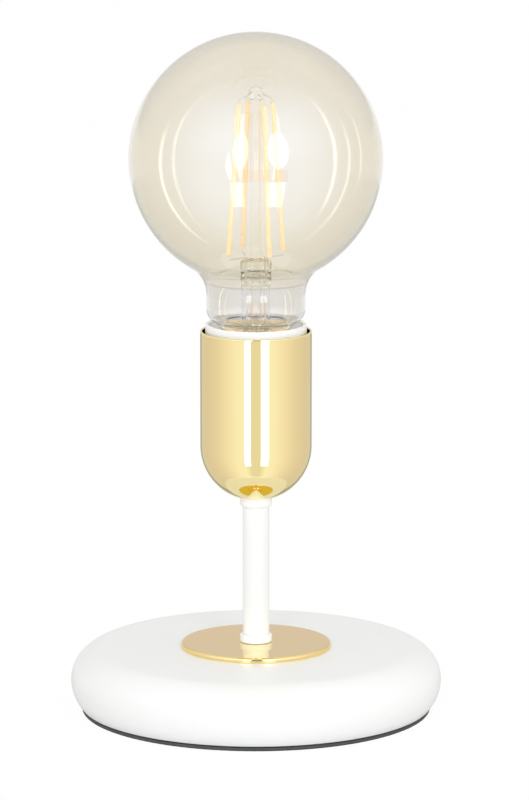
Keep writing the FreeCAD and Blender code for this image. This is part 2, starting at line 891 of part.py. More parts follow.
def make_lead_in_wires():
    """Two wires from the driver through the press, each with arms to two neighbouring filaments' feet."""
    wires = []
    arm_height = contact_plane + press_top + lead_in_rise
    for side in (1, -1):
        place = vector(side * lead_in_place, 0, 0)
        runs = [rod(lead_in_radius, board_top, arm_height + lead_in_radius, place.x)]
        feet = [low for low, high in filament_ends() if side * low.x > 0]
        for low in feet:
            elbow = vector(low.x, low.y, arm_height)
            runs.append(strut(place + UP * arm_height, elbow, mount_wire_radius))
            runs.append(strut(elbow - UP * pin_radius, low, pin_radius))
        wires.append(fused(runs).cut(make_led_filaments()))
    return Part.Compound(wires)


def make_filament_supports():
    """Wires from the bead at the top of the centre rod to the heads of the filaments."""
    supports = []
    bead_middle = contact_plane + centre_rod_top
    for low, high in filament_ends():
        outward = vector(high.x, high.y, 0).normalize()
        elbow = high + UP * pin_length
        root = outward * (bead_radius - support_bite) + UP * bead_middle
        arm = strut(root, elbow, mount_wire_radius)
        pin = strut(high, elbow + UP * pin_radius, pin_radius)
        supports.append(fused([arm, pin]).cut(make_led_filaments()))
    return Part.Compound(supports)


def make_glass_mount():
    """Flare, pinched press, exhaust tube, centre rod and bead, worked as one piece of glass."""
    press_low = contact_plane + press_bottom
    press_high = contact_plane + press_top
    sweep = (flare_radius + flare_sweep, seal_bottom + flare_sweep)
    inner_sweep = flare_sweep + flare_wall
    inner_radius = flare_radius - flare_wall
    flare = turned(
        (seal_radius, seal_bottom - flare_wall),
        ((seal_radius, seal_bottom),),
        (polar(sweep, flare_sweep, -90),),
        (polar(sweep, flare_sweep, -135), polar(sweep, flare_sweep, 180)),
        ((flare_radius, press_low),),
        ((0, press_low),),
        ((0, press_low - flare_wall),),
        ((inner_radius, press_low - flare_wall),),
        (polar(sweep, inner_sweep, 180),),
        (polar(sweep, inner_sweep, -135), polar(sweep, inner_sweep, -90)),
    )
    half = press_thickness / 2
    pinch = [
        vector(-overrun - flare_radius, -flare_radius, press_low - flare_wall),
        vector(-overrun - flare_radius, flare_radius, press_low - flare_wall),
        vector(-overrun - flare_radius, half, press_low + press_taper),
        vector(-overrun - flare_radius, half, press_high),
        vector(-overrun - flare_radius, -half, press_high),
        vector(-overrun - flare_radius, -half, press_low + press_taper),
    ]
    wedge = Part.Face(Part.makePolygon(pinch + pinch[:1])).extrude(RIGHT * (2 * (overrun + flare_radius)))
    press = rod(flare_radius, press_low - flare_wall, press_high).common(wedge)

    tip = board_top + exhaust_tip_gap
    exhaust_bore = exhaust_radius - exhaust_wall
    end = (0, tip + exhaust_radius)
    exhaust = turned(
        (0, tip),
        (polar(end, exhaust_radius, -45), polar(end, exhaust_radius, 0)),
        ((exhaust_radius, press_low),),
        ((0, press_low),),
    )
    bore_top = press_low + exhaust_hole_rise
    bore = turned(
        (0, tip + exhaust_wall),
        (polar(end, exhaust_bore, -45), polar(end, exhaust_bore, 0)),
        ((exhaust_bore, bore_top),),
        ((0, bore_top),),
    )
    vent_foot = vector(0, 0, bore_top - exhaust_hole_radius)
    vent = Part.makeCylinder(exhaust_hole_radius, flare_radius, vent_foot, -BACK)

    bead_middle = contact_plane + centre_rod_top
    centre_rod = rod(centre_rod_radius, press_high - overrun, bead_middle)
    bead = turned(
        (0, bead_middle - bead_height / 2),
        ((centre_rod_radius, bead_middle - bead_height / 2),),
        ((bead_radius, bead_middle), (centre_rod_radius, bead_middle + bead_height / 2)),
        ((0, bead_middle + bead_height / 2),),
    )
    glass = fused([flare, press, exhaust, centre_rod, bead]).cut(Part.Compound([bore, vent]))
    return glass.cut(Part.Compound(make_lead_in_wires().Solids + make_filament_supports().Solids))


def make_bulb_cap():
    """The screw cap's shell, drawn as plain walls at its thread's crests."""
    taper_low = contact_plane + cap_taper_start
    taper_high = contact_plane + cap_taper_end
    return turned(
        (cap_taper_radius, taper_low),
        ((cap_radius, taper_high),),
        ((cap_radius, cap_rim),),
        ((cap_radius - cap_wall, cap_rim),),
        ((cap_radius - cap_wall, taper_high),),
        ((cap_taper_radius - cap_wall, taper_low),),
    )


def make_cap_insulator():
    foot = contact_plane + end_contact_height + contact_gap
    hole = cap_lead_radius + slip
    ledge = contact_plane + cap_taper_start - slip
    top = ledge + insulator_lip
    return turned(
        (hole, foot),
        ((insulator_foot_radius, foot),),
        ((cap_taper_radius, ledge),),
        ((cap_taper_radius - cap_wall - slip, ledge),),
        ((insulator_top_radius, top),),
        ((hole, top),),
    )


def make_end_contact():
    """The round button at the cap's centre: a shallow dome below and a flat back."""
    bulge = (end_contact_radius ** 2 + end_contact_dome ** 2) / (2 * end_contact_dome)
    centre = (0, contact_plane + bulge)
    edge = math.degrees(math.atan2(end_contact_dome - bulge, end_contact_radius))
    return turned(
        (0, contact_plane),
        (polar(centre, bulge, (edge - 90) / 2), polar(centre, bulge, edge)),
        ((end_contact_radius, contact_plane + end_contact_height),),
        ((0, contact_plane + end_contact_height),),
    )


def make_cap_cement():
    return sleeve(cap_radius - cap_wall - slip, seal_radius + slip, cap_rim - cement_depth, cap_rim - slip)


def make_driver_board():
    centre_hole = rod(cap_lead_radius + slip, board_bottom - overrun, board_top + overrun)
    return rod(board_radius, board_bottom, board_top).cut(centre_hole)


def make_driver_parts():
    capacitor = rod(capacitor_radius, board_bottom - capacitor_length, board_bottom, capacitor_place)
    x_low = -bridge_place - bridge_length / 2
    y_end = bridge_width / 2
    bridge = block(x_low, x_low + bridge_length, -y_end, y_end, board_bottom - bridge_height, board_bottom)
    resistor_end = vector(-resistor_length / 2, resistor_place, board_bottom - resistor_radius)
    resistor = Part.makeCylinder(resistor_radius, resistor_length, resistor_end, RIGHT)
    return Part.Compound([capacitor, bridge, resistor])


def make_cap_leads():
    """The driver's two leads: one down the axis to the end contact, one up to the cap's wall."""
    down = rod(cap_lead_radius, contact_plane + end_contact_height + contact_gap, board_top)
    wall = cap_radius - cap_wall - cap_lead_radius
    board_place = board_radius - 2 * cap_lead_radius
    side_foot = vector(board_place, 0, board_top)
    side_head = vector(wall, 0, seal_bottom - 2 * flare_wall)
    side = strut(side_foot, side_head, cap_lead_radius)
    return Part.Compound([down, side.cut(rod(board_radius, board_bottom, board_top))])


# Washers and other plain rings

def make_base_washer():
    return sleeve(base_washer_radius, tube_hole_radius, base_washer_bottom, web_bottom)


def make_cup_washer():
    return sleeve(cup_flat_radius - slip, tube_hole_radius, cup_floor, hub_bottom)


pieces = {
    "foot_pad": make_foot_pad(),
    "bottom_plate": make_bottom_plate(),
    "bottom_plate_screws": Part.Compound(plate_screws(0)),
    "base_shell": make_base_shell(),
    "base_weight": make_base_weight(),
    "cable_grommet": make_cable_grommet(),
    "terminal_block": make_terminal_block(),
    "terminal_clamps": make_terminal_clamps(),
    "clamp_screws": make_clamp_screws(),
    "terminal_block_screw": block_screw(0),
    "base_disc": make_base_disc(),
    "lower_collar": collar(disc_top, 1),
    "stem_tube": make_stem_tube(),
    "stem_bushes": make_stem_bushes(),
    "base_washer": make_base_washer(),
    "base_lock_washer": make_lock_washer(),
    "base_nut": make_base_nut(),
    "upper_collar": collar(cup_seat, -1),
    "cup": make_cup(),
    "cup_washer": make_cup_washer(),
    "holder_dome": make_holder_dome(),
    "holder_lock_screw": lock_screw(0),
    "holder_insert": make_holder_insert(),
    "holder_skirt": make_holder_skirt(),
    "screw_shell": make_screw_shell(),
    "centre_contact": make_centre_contact(),
    "shell_terminal": make_shell_terminal(),
    "terminal_screws": Part.Compound(terminal_screws(0)),
    "lead_live": make_lead(-1),
    "lead_neutral": make_lead(1),
    "bulb_end_contact": make_end_contact(),
    "bulb_globe": make_bulb_globe(),
    "bulb_glass_mount": make_glass_mount(),
    "led_filaments": make_led_filaments(),
    "filament_supports": make_filament_supports(),
    "lead_in_wires": make_lead_in_wires(),
    "bulb_cap": make_bulb_cap(),
    "cap_insulator": make_cap_insulator(),
    "cap_cement": make_cap_cement(),
    "driver_board": make_driver_board(),
    "driver_parts": make_driver_parts(),
    "cap_leads": make_cap_leads(),
}

os.makedirs("parts", exist_ok=True)
for name, shape in pieces.items():
    shape.exportStep("parts/" + name + ".step")
    state = "valid" if shape.isValid() else "NOT VALID"
    print(name, len(shape.Solids), "solids", round(shape.Volume, 1), "mm3", state)
print("bulb rise when unscrewed", round(thread_rise, 3), "mm in", thread_turns, "turns")
print("cup length", round(cup_rim - cup_seat, 2), "mm")
print("bulb length", round(globe_top - contact_plane, 2), "mm")
print("total height", round(globe_top, 2), "mm")
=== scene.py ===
# %% [markdown]
# # A bedside lamp with a bare globe bulb
# The lamp is a low white base, a gold disc, a thin white stem and a gold cup that holds a large clear bulb.
# Its solids come packed from CAD. This lesson gives them the look of the real thing: it sets up a small
# photo studio, mixes the finishes, and remakes the few pieces whose surface needs more than the CAD gives.

# %% The packed model
import json
import math
from functools import partialmethod

import bpy
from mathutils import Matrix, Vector


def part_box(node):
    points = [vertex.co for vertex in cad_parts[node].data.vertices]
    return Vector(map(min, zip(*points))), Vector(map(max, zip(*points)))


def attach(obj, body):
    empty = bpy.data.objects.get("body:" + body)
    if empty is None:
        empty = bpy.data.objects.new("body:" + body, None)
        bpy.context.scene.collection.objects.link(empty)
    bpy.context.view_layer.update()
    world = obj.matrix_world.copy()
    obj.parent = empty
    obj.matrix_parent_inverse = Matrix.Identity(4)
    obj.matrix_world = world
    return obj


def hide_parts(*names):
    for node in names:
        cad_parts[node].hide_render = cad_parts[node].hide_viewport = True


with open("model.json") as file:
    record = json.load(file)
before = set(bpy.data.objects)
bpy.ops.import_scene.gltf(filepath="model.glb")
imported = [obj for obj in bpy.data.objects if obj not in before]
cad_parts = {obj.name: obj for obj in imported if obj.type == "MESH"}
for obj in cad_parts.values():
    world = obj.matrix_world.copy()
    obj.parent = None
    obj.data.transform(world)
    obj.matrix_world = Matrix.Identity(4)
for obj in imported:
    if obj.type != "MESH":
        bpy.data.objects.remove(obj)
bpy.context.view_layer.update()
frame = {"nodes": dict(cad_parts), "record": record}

nodes = frame["nodes"]

# %% [markdown]
# ## The camera
# The photograph was taken from far off with a long lens, so upright lines stay upright and the base is a
# flat oval. A camera placed by eye puts no edge quite where it should be. So the distance and the tilt were
# worked out from the oval of the base and the sizes of the cup and the globe. The lens comes from a focal
# length in pixels, which fits any size of sensor.

# %% The camera
MM = 0.001
IMAGE_HEIGHT = 800
FOCAL_PIXELS = 5313.8
SENSOR = 36.0
CAMERA_PLACE = (0.0032, -1.9629, 0.5009)
TILT_DOWN = 11.006
FARTHEST = 20.0
lens = bpy.data.cameras.new("camera")
lens.sensor_width = SENSOR
lens.lens = FOCAL_PIXELS * SENSOR / IMAGE_HEIGHT
lens.clip_end = FARTHEST
camera = bpy.data.objects.new("camera", lens)
camera.location = CAMERA_PLACE
camera.rotation_euler = (math.radians(90 - TILT_DOWN), 0, 0)
bpy.context.scene.collection.objects.link(camera)
bpy.context.scene.camera = camera
bpy.context.scene.view_settings.view_transform = "Standard"
print("lens", round(lens.lens, 1), "mm")

# %% [markdown]
# ## Light through glass
# The bulb's foot stands in a narrow well under glass, and each look at it crosses glass many times. With too
# few bounces such light is lost, and with blurred ones the well turns grey.

# %% Light paths
BOUNCES = 32
paths = bpy.context.scene.cycles
paths.max_bounces = BOUNCES
paths.transmission_bounces = BOUNCES
paths.glossy_bounces = BOUNCES // 2
paths.blur_glossy = 0.0
print("bounces", paths.max_bounces)

# %% [markdown]
# ## Writing node trees as sums
# Every finish below is a small sum of patterns. Blender wants one node for each plus and times, which is
# slow to read and to write. So a class wraps a socket and turns Python's operators into Math nodes.

# %% A socket that can be added and multiplied
def pick(sockets, key):
    """The socket with that name, or in that place, among those in use with the node's settings."""
    used = [socket for socket in sockets if socket.enabled]
    if isinstance(key, int):
        return used[key]
    return next(socket for socket in used if socket.name == key)


class Wire:
    """The value of a socket. Arithmetic on it adds Math nodes."""

    def __init__(self, plan, socket):
        self.plan = plan
        self.socket = socket

    def other(self, name):
        """Another output of the same node."""
        return Wire(self.plan, pick(self.socket.node.outputs, name))

    def math(self, operation, *others):
        return self.plan.node("ShaderNodeMath", {"operation": operation}, dict(enumerate((self, *others))))

    __add__ = __radd__ = partialmethod(math, "ADD")
    __sub__ = partialmethod(math, "SUBTRACT")
    __mul__ = __rmul__ = partialmethod(math, "MULTIPLY")
    __truediv__ = partialmethod(math, "DIVIDE")
    __pow__ = partialmethod(math, "POWER")

    def __rsub__(self, other):
        return self * -1 + other


print("operators ready:", [name for name in vars(Wire) if name.startswith("__r")])

# %% [markdown]
# ## One maker for all other nodes
# A second class stands for the whole tree, be it a material, the world or Geometry Nodes. One method makes
# any node from its type, its settings and the values of its sockets. Colours can't go through Math nodes,
# which turn them grey, so Mix nodes mix, tint and add them.

# %% A node tree, and the method that makes its nodes
class Plan:
    """A node tree in the making."""

    def __init__(self, tree):
        self.tree = tree
        tree.nodes.clear()

    def node(self, kind, settings=None, values=None, out=0):
        made = self.tree.nodes.new(kind)
        for name, value in (settings or {}).items():
            if name == "stops":
                self.set_stops(made.color_ramp, value)
            else:
                setattr(made, name, value)
        for key, value in (values or {}).items():
            socket = pick(made.inputs, key)
            if isinstance(value, Wire):
                self.tree.links.new(value.socket, socket)
            else:
                socket.default_value = value
        return Wire(self, pick(made.outputs, out)) if made.outputs else None

    def set_stops(self, ramp, stops):
        while len(ramp.elements) < len(stops):
            ramp.elements.new(1.0)
        for element, (place, colour) in zip(ramp.elements, stops):
            element.position = place
            element.color = (*colour, 1)

    def mix(self, share, first, second, blend="MIX"):
        first, second = (value if isinstance(value, Wire) else (*value, 1) for value in (first, second))
        settings = {"data_type": "RGBA", "blend_type": blend}
        return self.node("ShaderNodeMix", settings, {"Factor": share, "A": first, "B": second})

    def tint(self, light, colour):
        return self.mix(1.0, light, colour, "MULTIPLY")

    def add(self, first, second):
        return self.mix(1.0, first, second, "ADD")


print("node maker ready")

# %% [markdown]
# ## Soft steps and hills
# Patterns need soft edges. A colour ramp draws them, but its stops are hard to read in a script. A Map
# Range node with smooth steps does it from two plain numbers, and two steps back to back make a hill or a
# window.

# %% Soft steps, hills and windows
HILL_TOP = 0.3


def step(value, low, high):
    """0 below low, 1 above high, and smooth between them."""
    settings = {"interpolation_type": "SMOOTHSTEP"}
    values = {"Value": value, "From Min": low, "From Max": high}
    return value.plan.node("ShaderNodeMapRange", settings, values)


def hill(value, centre, half_width):
    """1 near the centre, falling smoothly to 0 half a width away on both sides."""
    away = (value - centre).math("ABSOLUTE")
    return step(away, half_width, half_width * HILL_TOP)


def window(value, low, high, soft):
    """1 between low and high, with soft edges."""
    return step(value, low, low + soft) * (1 - step(value, high - soft, high))


print("a hill is flat over", HILL_TOP, "of its width")

# %% [markdown]
# ## The studio
# Polished metal and glass show the room they stand in, so the room matters as much as the finishes. Walls
# and cards could build it, but a world that answers by direction takes only a few numbers. Directions are
# an angle round the lamp, in degrees from the camera's side, and a height, the sine of the elevation. The
# room is pale. Its back is darker above the table, which deepens the brass disc. A gap of shade between the
# soft boxes draws the short dark dash on the disc's rim, and a cool light higher up whitens the rest of
# that rim.

# %% The room that metal and glass reflect
ROOM_LEVEL = 1.0
PALE_WALL = (0.93, 0.93, 0.92)
BACK_WALL = (0.72, 0.71, 0.70)
BACK_STARTS = (115, 150)
BACK_BOTTOM = (0.0, 0.06)
BACK_TOP = (0.5, 0.75)
TABLE = (0.80, 0.84, 0.92)
TABLE_EDGE = (-0.12, -0.34)
FRONT_SPREAD = 110
RIM_LIGHT = (0.42, 0.68, 0.90)
RIM_LIGHT_HEIGHT = (0.5, 0.45)
GAP_TONE = (0.30, 0.34, 0.22)
GAP_ANGLES = (-11, 11, 2.0)
GAP_HEIGHTS = (0.0, 0.8, 0.05)


def pale_room(plan, angle, height):
    back = step(angle.math("ABSOLUTE"), *BACK_STARTS) * step(height, *BACK_BOTTOM)
    walls = plan.mix(back * (1 - step(height, *BACK_TOP)), PALE_WALL, BACK_WALL)
    return plan.mix(step(height, *TABLE_EDGE), walls, TABLE)


def front_for_metal(plan, room, angle, height, outside):
    """The room with the rim's light and the gap, for rays that no glass has touched."""
    above = hill(angle, 0, FRONT_SPREAD) * hill(height, *RIM_LIGHT_HEIGHT) * outside
    gap = window(angle, *GAP_ANGLES) * window(height, *GAP_HEIGHTS) * outside
    return plan.mix(gap, plan.add(room, plan.tint(above, RIM_LIGHT)), GAP_TONE)


print("gap between the boxes:", GAP_ANGLES[1] - GAP_ANGLES[0], "degrees")

# %% [markdown]
# ## The veil on the globe
# Over the middle of the globe lies a faint cool veil, the bright front of the room in the glass, with a few
# amber patches in it. Cards could be put there, but their edges would show in the cup too, so the patches
# are windows in the world's own light.

# %% The veil and its patches
FRONT_LIGHT = (2.2, 2.8, 4.2)
FRONT_MIDDLE = 0.0
FRONT_REACH = 1.3
AMBER = (2.2, 0.4, 0.0)
PATCH_EDGE = 1.0
PATCH_FADE = 0.02
PATCHES = (
    # (degrees from, degrees to, lowest height, highest height, strength)
    (-18, 13, -0.218, -0.01, 1.0),
    (17, 30, -0.218, -0.03, 1.0),
    (-10, 12, -0.05, 0.85, 0.3),
)


def veil(plan, angle, height):
    light = FRONT_LIGHT
    for left, right, low, high, strength in PATCHES:
        patch = window(angle, left, right, PATCH_EDGE) * window(height, low, high, PATCH_FADE) * strength
        light = plan.mix(patch, light, AMBER)
    shape = hill(angle, 0, FRONT_SPREAD) * hill(height, FRONT_MIDDLE, FRONT_REACH)
    return plan.tint(light, shape)


print("patches in the veil:", len(PATCHES))

# %% [markdown]
# ## Light strips in the glass
# The globe shows thin bright crescents left and right, one inside the other: the room's narrow lights.
# Their directions were worked out from the mirror law at the crescents' places on the ball. Each leans a
# little, so its angle changes with its height.

# %% The strips
STRIPS = (
    # (degrees when level, lean, half width, how bright, lowest height, highest height)
    (-97.5, -4, 3.0, 6.0, -1.0, 0.46),
    (-81.0, -7, 2.7, 3.4, -0.92, 0.88),
    (77.3, 7, 3.0, 6.5, -0.78, 0.86),
    (95.0, 8, 2.7, 3.4, -0.98, 0.54),
    (112.0, 9, 2.4, 2.4, -0.40, 0.46),
)


def strip_light(angle, height):
    lights = []
    for place, lean, half_width, strength, low, high in STRIPS:
        across = hill(angle - height * lean, place, half_width)
        lights.append(across * hill(height, (low + high) / 2, (high - low) / 2) * strength)
    return sum(lights[1:], lights[0])


print("light strips:", len(STRIPS))

# %% [markdown]
# ## Which ray sees what
# Cycles tells the world how often each ray was mirrored and how often it crossed glass. That sorts the
# looks of the studio without any walls:
# - The camera, and a ray that only passed through glass, see plain white. Dull surfaces get an even grey.
# - A ray that the inner face of the globe's near wall mirrored has crossed the outer face twice. Only it
#   sees the veil and the strips, so the cup and the disc are free of them.
# - A ray that brass mirrored twice is gold seen in gold. It is deepened, as in the lowest part of the cup.
# - A ray from a dull surface that brass mirrored is light thrown on the stem and the base. It is cooled, so
#   that they stay white.

# %% The kinds of ray
BRASS_ECHO = (0.80, 0.82, 0.24)
THROWN_LIGHT = (0.92, 1.08, 1.55)


def more_than(count, number):
    """1 when a whole count is above a number, else 0."""
    return count.math("GREATER_THAN", number + 0.5)


def ray_kinds(plan):
    """A mask of 0 or 1 for each thing that the ray in hand can be."""
    ray = plan.node("ShaderNodeLightPath", out="Is Camera Ray")
    crossed = ray.other("Transmission Depth")
    mirrors = ray.other("Glossy Depth")
    mirrored = more_than(mirrors, 0)
    outside = 1 - more_than(crossed, 0)
    one_wall = more_than(crossed, 1) * (1 - more_than(crossed, 2))
    return {
        "white": ray.math("MAXIMUM", ray.other("Is Transmission Ray") * (1 - mirrored)),
        "mirrored": mirrored,
        "outside": outside,
        "near wall": one_wall * (1 - more_than(mirrors, 1)),
        "echo": more_than(mirrors, 1) * outside,
        "thrown": more_than(ray.other("Diffuse Depth"), 0) * ray.other("Is Glossy Ray") * outside,
    }


print("echo of the brass:", BRASS_ECHO)

# %% [markdown]
# ## The world
# All of it comes together here: first what is in the room, then what each kind of ray gets of it.

# %% The world
def turn_from_front(across):
    """The direction round the lamp in degrees, 0 towards the camera's side."""
    return across.math("ARCTAN2", across.other("Y") * -1) * math.degrees(1)


world = bpy.data.worlds.new("studio")
world.use_nodes = True
bpy.context.scene.world = world
plan = Plan(world.node_tree)
direction = plan.node("ShaderNodeTexCoord", out="Generated")
across = plan.node("ShaderNodeSeparateXYZ", values={0: direction})
angle = turn_from_front(across)
height = across.other("Z")
kinds = ray_kinds(plan)
room = front_for_metal(plan, pale_room(plan, angle, height), angle, height, kinds["outside"])
in_glass = plan.add(veil(plan, angle, height), strip_light(angle, height))
lit = plan.mix(kinds["near wall"], room, plan.add(room, in_glass))
deepened = plan.mix(kinds["echo"], lit, plan.tint(lit, BRASS_ECHO))
mirrored = plan.mix(kinds["thrown"], deepened, plan.tint(lit, THROWN_LIGHT))
around = plan.mix(kinds["mirrored"], (ROOM_LEVEL,) * 3, mirrored)
seen = plan.mix(kinds["white"], around, (1, 1, 1))
light = plan.node("ShaderNodeBackground", values={"Color": seen, "Strength": 1.0})
plan.node("ShaderNodeOutputWorld", values={"Surface": light})
print("world nodes:", len(plan.tree.nodes))

# %% [markdown]
# ## The wall round the cup
# The cup has its own room. Its gold is deeper between the two white stripes, darkens slowly towards both
# sides, and has a dark line close to each edge. A round wall far outside carries these tones by its
# direction from the lamp. A camera that looks down a little sees, in the cup's upright side, only what lies
# lower than the cup's lip. So the wall ends just there, and the glass above the cup hardly shows it. The
# wall is hidden from all but reflections.

# %% The tones of the wall
WALL_TONES = (
    # (degrees from the camera's side, colour)
    (0, (0.84, 0.86, 0.76)),
    (9, (0.84, 0.86, 0.76)),
    (24, (1.02, 1.08, 1.10)),
    (40, (1.02, 1.04, 1.02)),
    (65, (0.93, 0.91, 0.88)),
    (90, (0.82, 0.79, 0.77)),
    (120, (0.76, 0.72, 0.70)),
    (148, (0.72, 0.72, 0.68)),
    (158, (0.38, 0.39, 0.33)),
    (168, (0.50, 0.50, 0.45)),
    (174, (0.88, 0.88, 0.87)),
)


def wall_tone(plan):
    place = plan.node("ShaderNodeTexCoord", out="Object")
    angle = turn_from_front(plan.node("ShaderNodeSeparateXYZ", values={0: place}))
    stops = [(degrees / 180, colour) for degrees, colour in WALL_TONES]
    return plan.node("ShaderNodeValToRGB", {"stops": stops}, {0: angle.math("ABSOLUTE") / 180})


print("wall tones:", len(WALL_TONES))

# %% The wall that the cup reflects
WALL_DISTANCE = 1.7
WALL_TOP = -0.1595
WALL_BOTTOM = -5.0
WALL_SIDES = 96
ONLY_MIRRORED = ("camera", "diffuse", "transmission", "volume_scatter", "shadow")


def stage_piece(name, points, faces, material, *unseen_by):
    mesh = bpy.data.meshes.new(name)
    mesh.from_pydata(points, [], faces)
    mesh.materials.append(material)
    piece = bpy.data.objects.new(name, mesh)
    bpy.context.scene.collection.objects.link(piece)
    for ray in unseen_by:
        setattr(piece, "visible_" + ray, False)


def new_material(name):
    material = bpy.data.materials.new(name)
    material.use_nodes = True
    return material, Plan(material.node_tree)


def from_lamp(degrees, distance, height):
    angle = math.radians(degrees)
    return (math.sin(angle) * distance, -math.cos(angle) * distance, height)


material, plan = new_material("wall_tones")
shine = plan.node("ShaderNodeEmission", values={"Color": wall_tone(plan), "Strength": 1.0})
plan.node("ShaderNodeOutputMaterial", values={"Surface": shine})
material.cycles.emission_sampling = "NONE"
around = [360 * i / WALL_SIDES for i in range(WALL_SIDES)]
points = [from_lamp(side, WALL_DISTANCE, height) for side in around for height in (WALL_BOTTOM, WALL_TOP)]
count = len(points)
faces = [(i, i + 1, (i + 3) % count, (i + 2) % count) for i in range(0, count, 2)]
stage_piece("round_wall", points, faces, material, *ONLY_MIRRORED)
print("wall sides:", len(faces))

# %% [markdown]
# ## The soft boxes
# The two white stripes on the cup are tall soft boxes left and right of the camera. The stripes end low on
# the cup's round bottom, so the boxes reach down past the floor's level, where the floor hides them from
# everything dull. The globe shows the boxes' rounder upper parts, then a break where the amber patches are,
# then the lower parts. So each box is two area lights.

# %% The soft boxes
BOX_DISTANCE = 1.5
BOXES = (
    # (degrees, spread, lower edge, upper edge, light, shape)
    (-14.0, 14.5, 0.20, 1.10, 3.9, "ELLIPSE"),
    (20.5, 19.5, 0.20, 1.10, 3.9, "ELLIPSE"),
    (-17.2, 12.4, -0.84, -0.125, 2.6, "RECTANGLE"),
    (18.6, 16.0, -0.84, -0.125, 2.6, "RECTANGLE"),
)


def make_soft_box(angle, spread, bottom, top, light, shape):
    width = 2 * BOX_DISTANCE * math.tan(math.radians(spread / 2))
    tall = top - bottom
    data = bpy.data.lights.new("soft_box", "AREA")
    data.shape = shape
    data.size = width
    data.size_y = tall
    data.energy = light * math.pi * width * tall * (math.pi / 4 if shape == "ELLIPSE" else 1)
    box = bpy.data.objects.new("soft_box", data)
    towards = Vector(from_lamp(angle, BOX_DISTANCE, 0))
    box.location = towards + Vector((0, 0, (bottom + top) / 2))
    box.rotation_euler = (-towards).to_track_quat("-Z", "Y").to_euler()
    box.visible_camera = False
    bpy.context.scene.collection.objects.link(box)


for box in BOXES:
    make_soft_box(*box)
print("soft boxes:", len(BOXES))

# %% [markdown]
# ## The floor
# The photograph's background is pure white with hardly a shadow. A shadow catcher would leave it clear
# instead of white. So the floor is a pale sheet that mostly shows the camera plain white and only a little
# of its own shading, which leaves a faint shadow under the base. Reflections pass through it, because the
# real table was as bright as the room.

# %% The floor
FLOOR_SIZE = 30.0
FLOOR_WHITE_SHARE = 0.96
PAPER = (0.9, 0.9, 0.9, 1)
half = FLOOR_SIZE / 2
corners = [(-half, -half, 0), (half, -half, 0), (half, half, 0), (-half, half, 0)]
material, plan = new_material("floor")
camera_ray = plan.node("ShaderNodeLightPath", out="Is Camera Ray")
white = plan.node("ShaderNodeEmission", values={"Strength": 1.0})
paper = plan.node("ShaderNodeBsdfDiffuse", values={"Color": PAPER})
both = plan.node("ShaderNodeMixShader", values={0: camera_ray * FLOOR_WHITE_SHARE, 1: paper, 2: white})
plan.node("ShaderNodeOutputMaterial", values={"Surface": both})
stage_piece("floor", corners, [(0, 1, 2, 3)], material, "glossy", "transmission")
print("floor", FLOOR_SIZE, "m across")

# %% [markdown]
# ## Patterns that every finish shares
# No real surface is one flat colour. Each finish here mixes two near colours with a soft noise, lets its
# roughness wander a little, and gets a fine relief through a Bump node. All patterns read Object
# coordinates, which are metres in the lamp's own frame, so a scale of 1000 means a grain of about one
# millimetre.

# %% Colour, grain and relief
class Finish(Plan):
    """A material, from its patterns to its surface."""

    def __init__(self, name):
        self.material, plan = new_material(name)
        super().__init__(plan.tree)
        self.place = self.node("ShaderNodeTexCoord", out="Object")
        self.x = self.node("ShaderNodeSeparateXYZ", values={0: self.place})
        self.y = self.x.other("Y")
        self.z = self.x.other("Z")

    def noise(self, scale, detail=2.0, place=None):
        values = {"Vector": place or self.place, "Scale": scale, "Detail": detail}
        return self.node("ShaderNodeTexNoise", values=values)

    def relief(self, height, depth, strength):
        values = {"Strength": strength, "Distance": depth, "Height": height}
        return self.node("ShaderNodeBump", values=values)

    def surface(self, **values):
        sockets = {name.replace("_", " "): value for name, value in values.items()}
        made = self.node("ShaderNodeBsdfPrincipled", values=sockets)
        self.node("ShaderNodeOutputMaterial", values={"Surface": made})
        return self.material


finishes = {}
print("finish maker ready")

# %% [markdown]
# ## White lacquer
# The base, the stem and its collars are steel with a satin white powder coat. Such a coat has a slight
# orange-peel skin, which softens reflections more than its colour shows. So the colour hardly changes, and
# the detail is in a fine relief and in the roughness. Where the lower collar stands on the disc, a thin dark
# line of painted shade stands for the shadow in the joint. The height picks it, because a groove would be too
# fine to model.

# %% White lacquer
LACQUER = ((0.80, 0.80, 0.795), (0.84, 0.84, 0.835))
# The colour of the painted shade in the joint where the lower collar stands on the disc.
PAINTED_CONTACT_SHADE = (0.36, 0.34, 0.24)
CONTACT_SHADE_WIDTH = 0.4 * MM
f = Finish("white_lacquer")
disc_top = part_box("base_disc")[1].z
coat = f.mix(f.noise(22.0, 3.0), *LACQUER)
# Painted shade: a thin dark ring on the lacquer at the height of the disc's top, for the shadow in the joint.
colour = f.mix(hill(f.z, disc_top, CONTACT_SHADE_WIDTH), coat, PAINTED_CONTACT_SHADE)
peel = f.relief(f.noise(1100.0), 0.12 * MM, 0.25)
finishes["white_lacquer"] = f.surface(Base_Color=colour, Roughness=0.33 + f.noise(160.0) * 0.07, Normal=peel)
print("lacquer ready")

# %% [markdown]
# ## Brass, polished and turned
# The cup is polished until it mirrors the room, with a faint haze and hair-fine marks round its axis. The
# disc was faced on a lathe, so its marks are rings. An image of scratches would need a seam somewhere. A
# noise over the distance to the axis and the height needs none: it gives rings on a flat face and hoops on
# an upright one.

# %% Brass
BRASSES = {
    # name: (colour, second colour, roughness, haze, marks over a metre, depth of a mark in millimetres)
    "polished_brass": ((0.965, 0.80, 0.43), (0.95, 0.78, 0.405), 0.005, 0.02, 900, 0.001),
    "satin_brass": ((0.95, 0.712, 0.352), (0.93, 0.684, 0.328), 0.012, 0.03, 2600, 0.002),
    "contact_brass": ((0.80, 0.62, 0.30), (0.70, 0.52, 0.24), 0.2, 0.15, 700, 0.01),
    "cap_brass": ((0.78, 0.74, 0.66), (0.70, 0.66, 0.58), 0.18, 0.14, 800, 0.01),
}


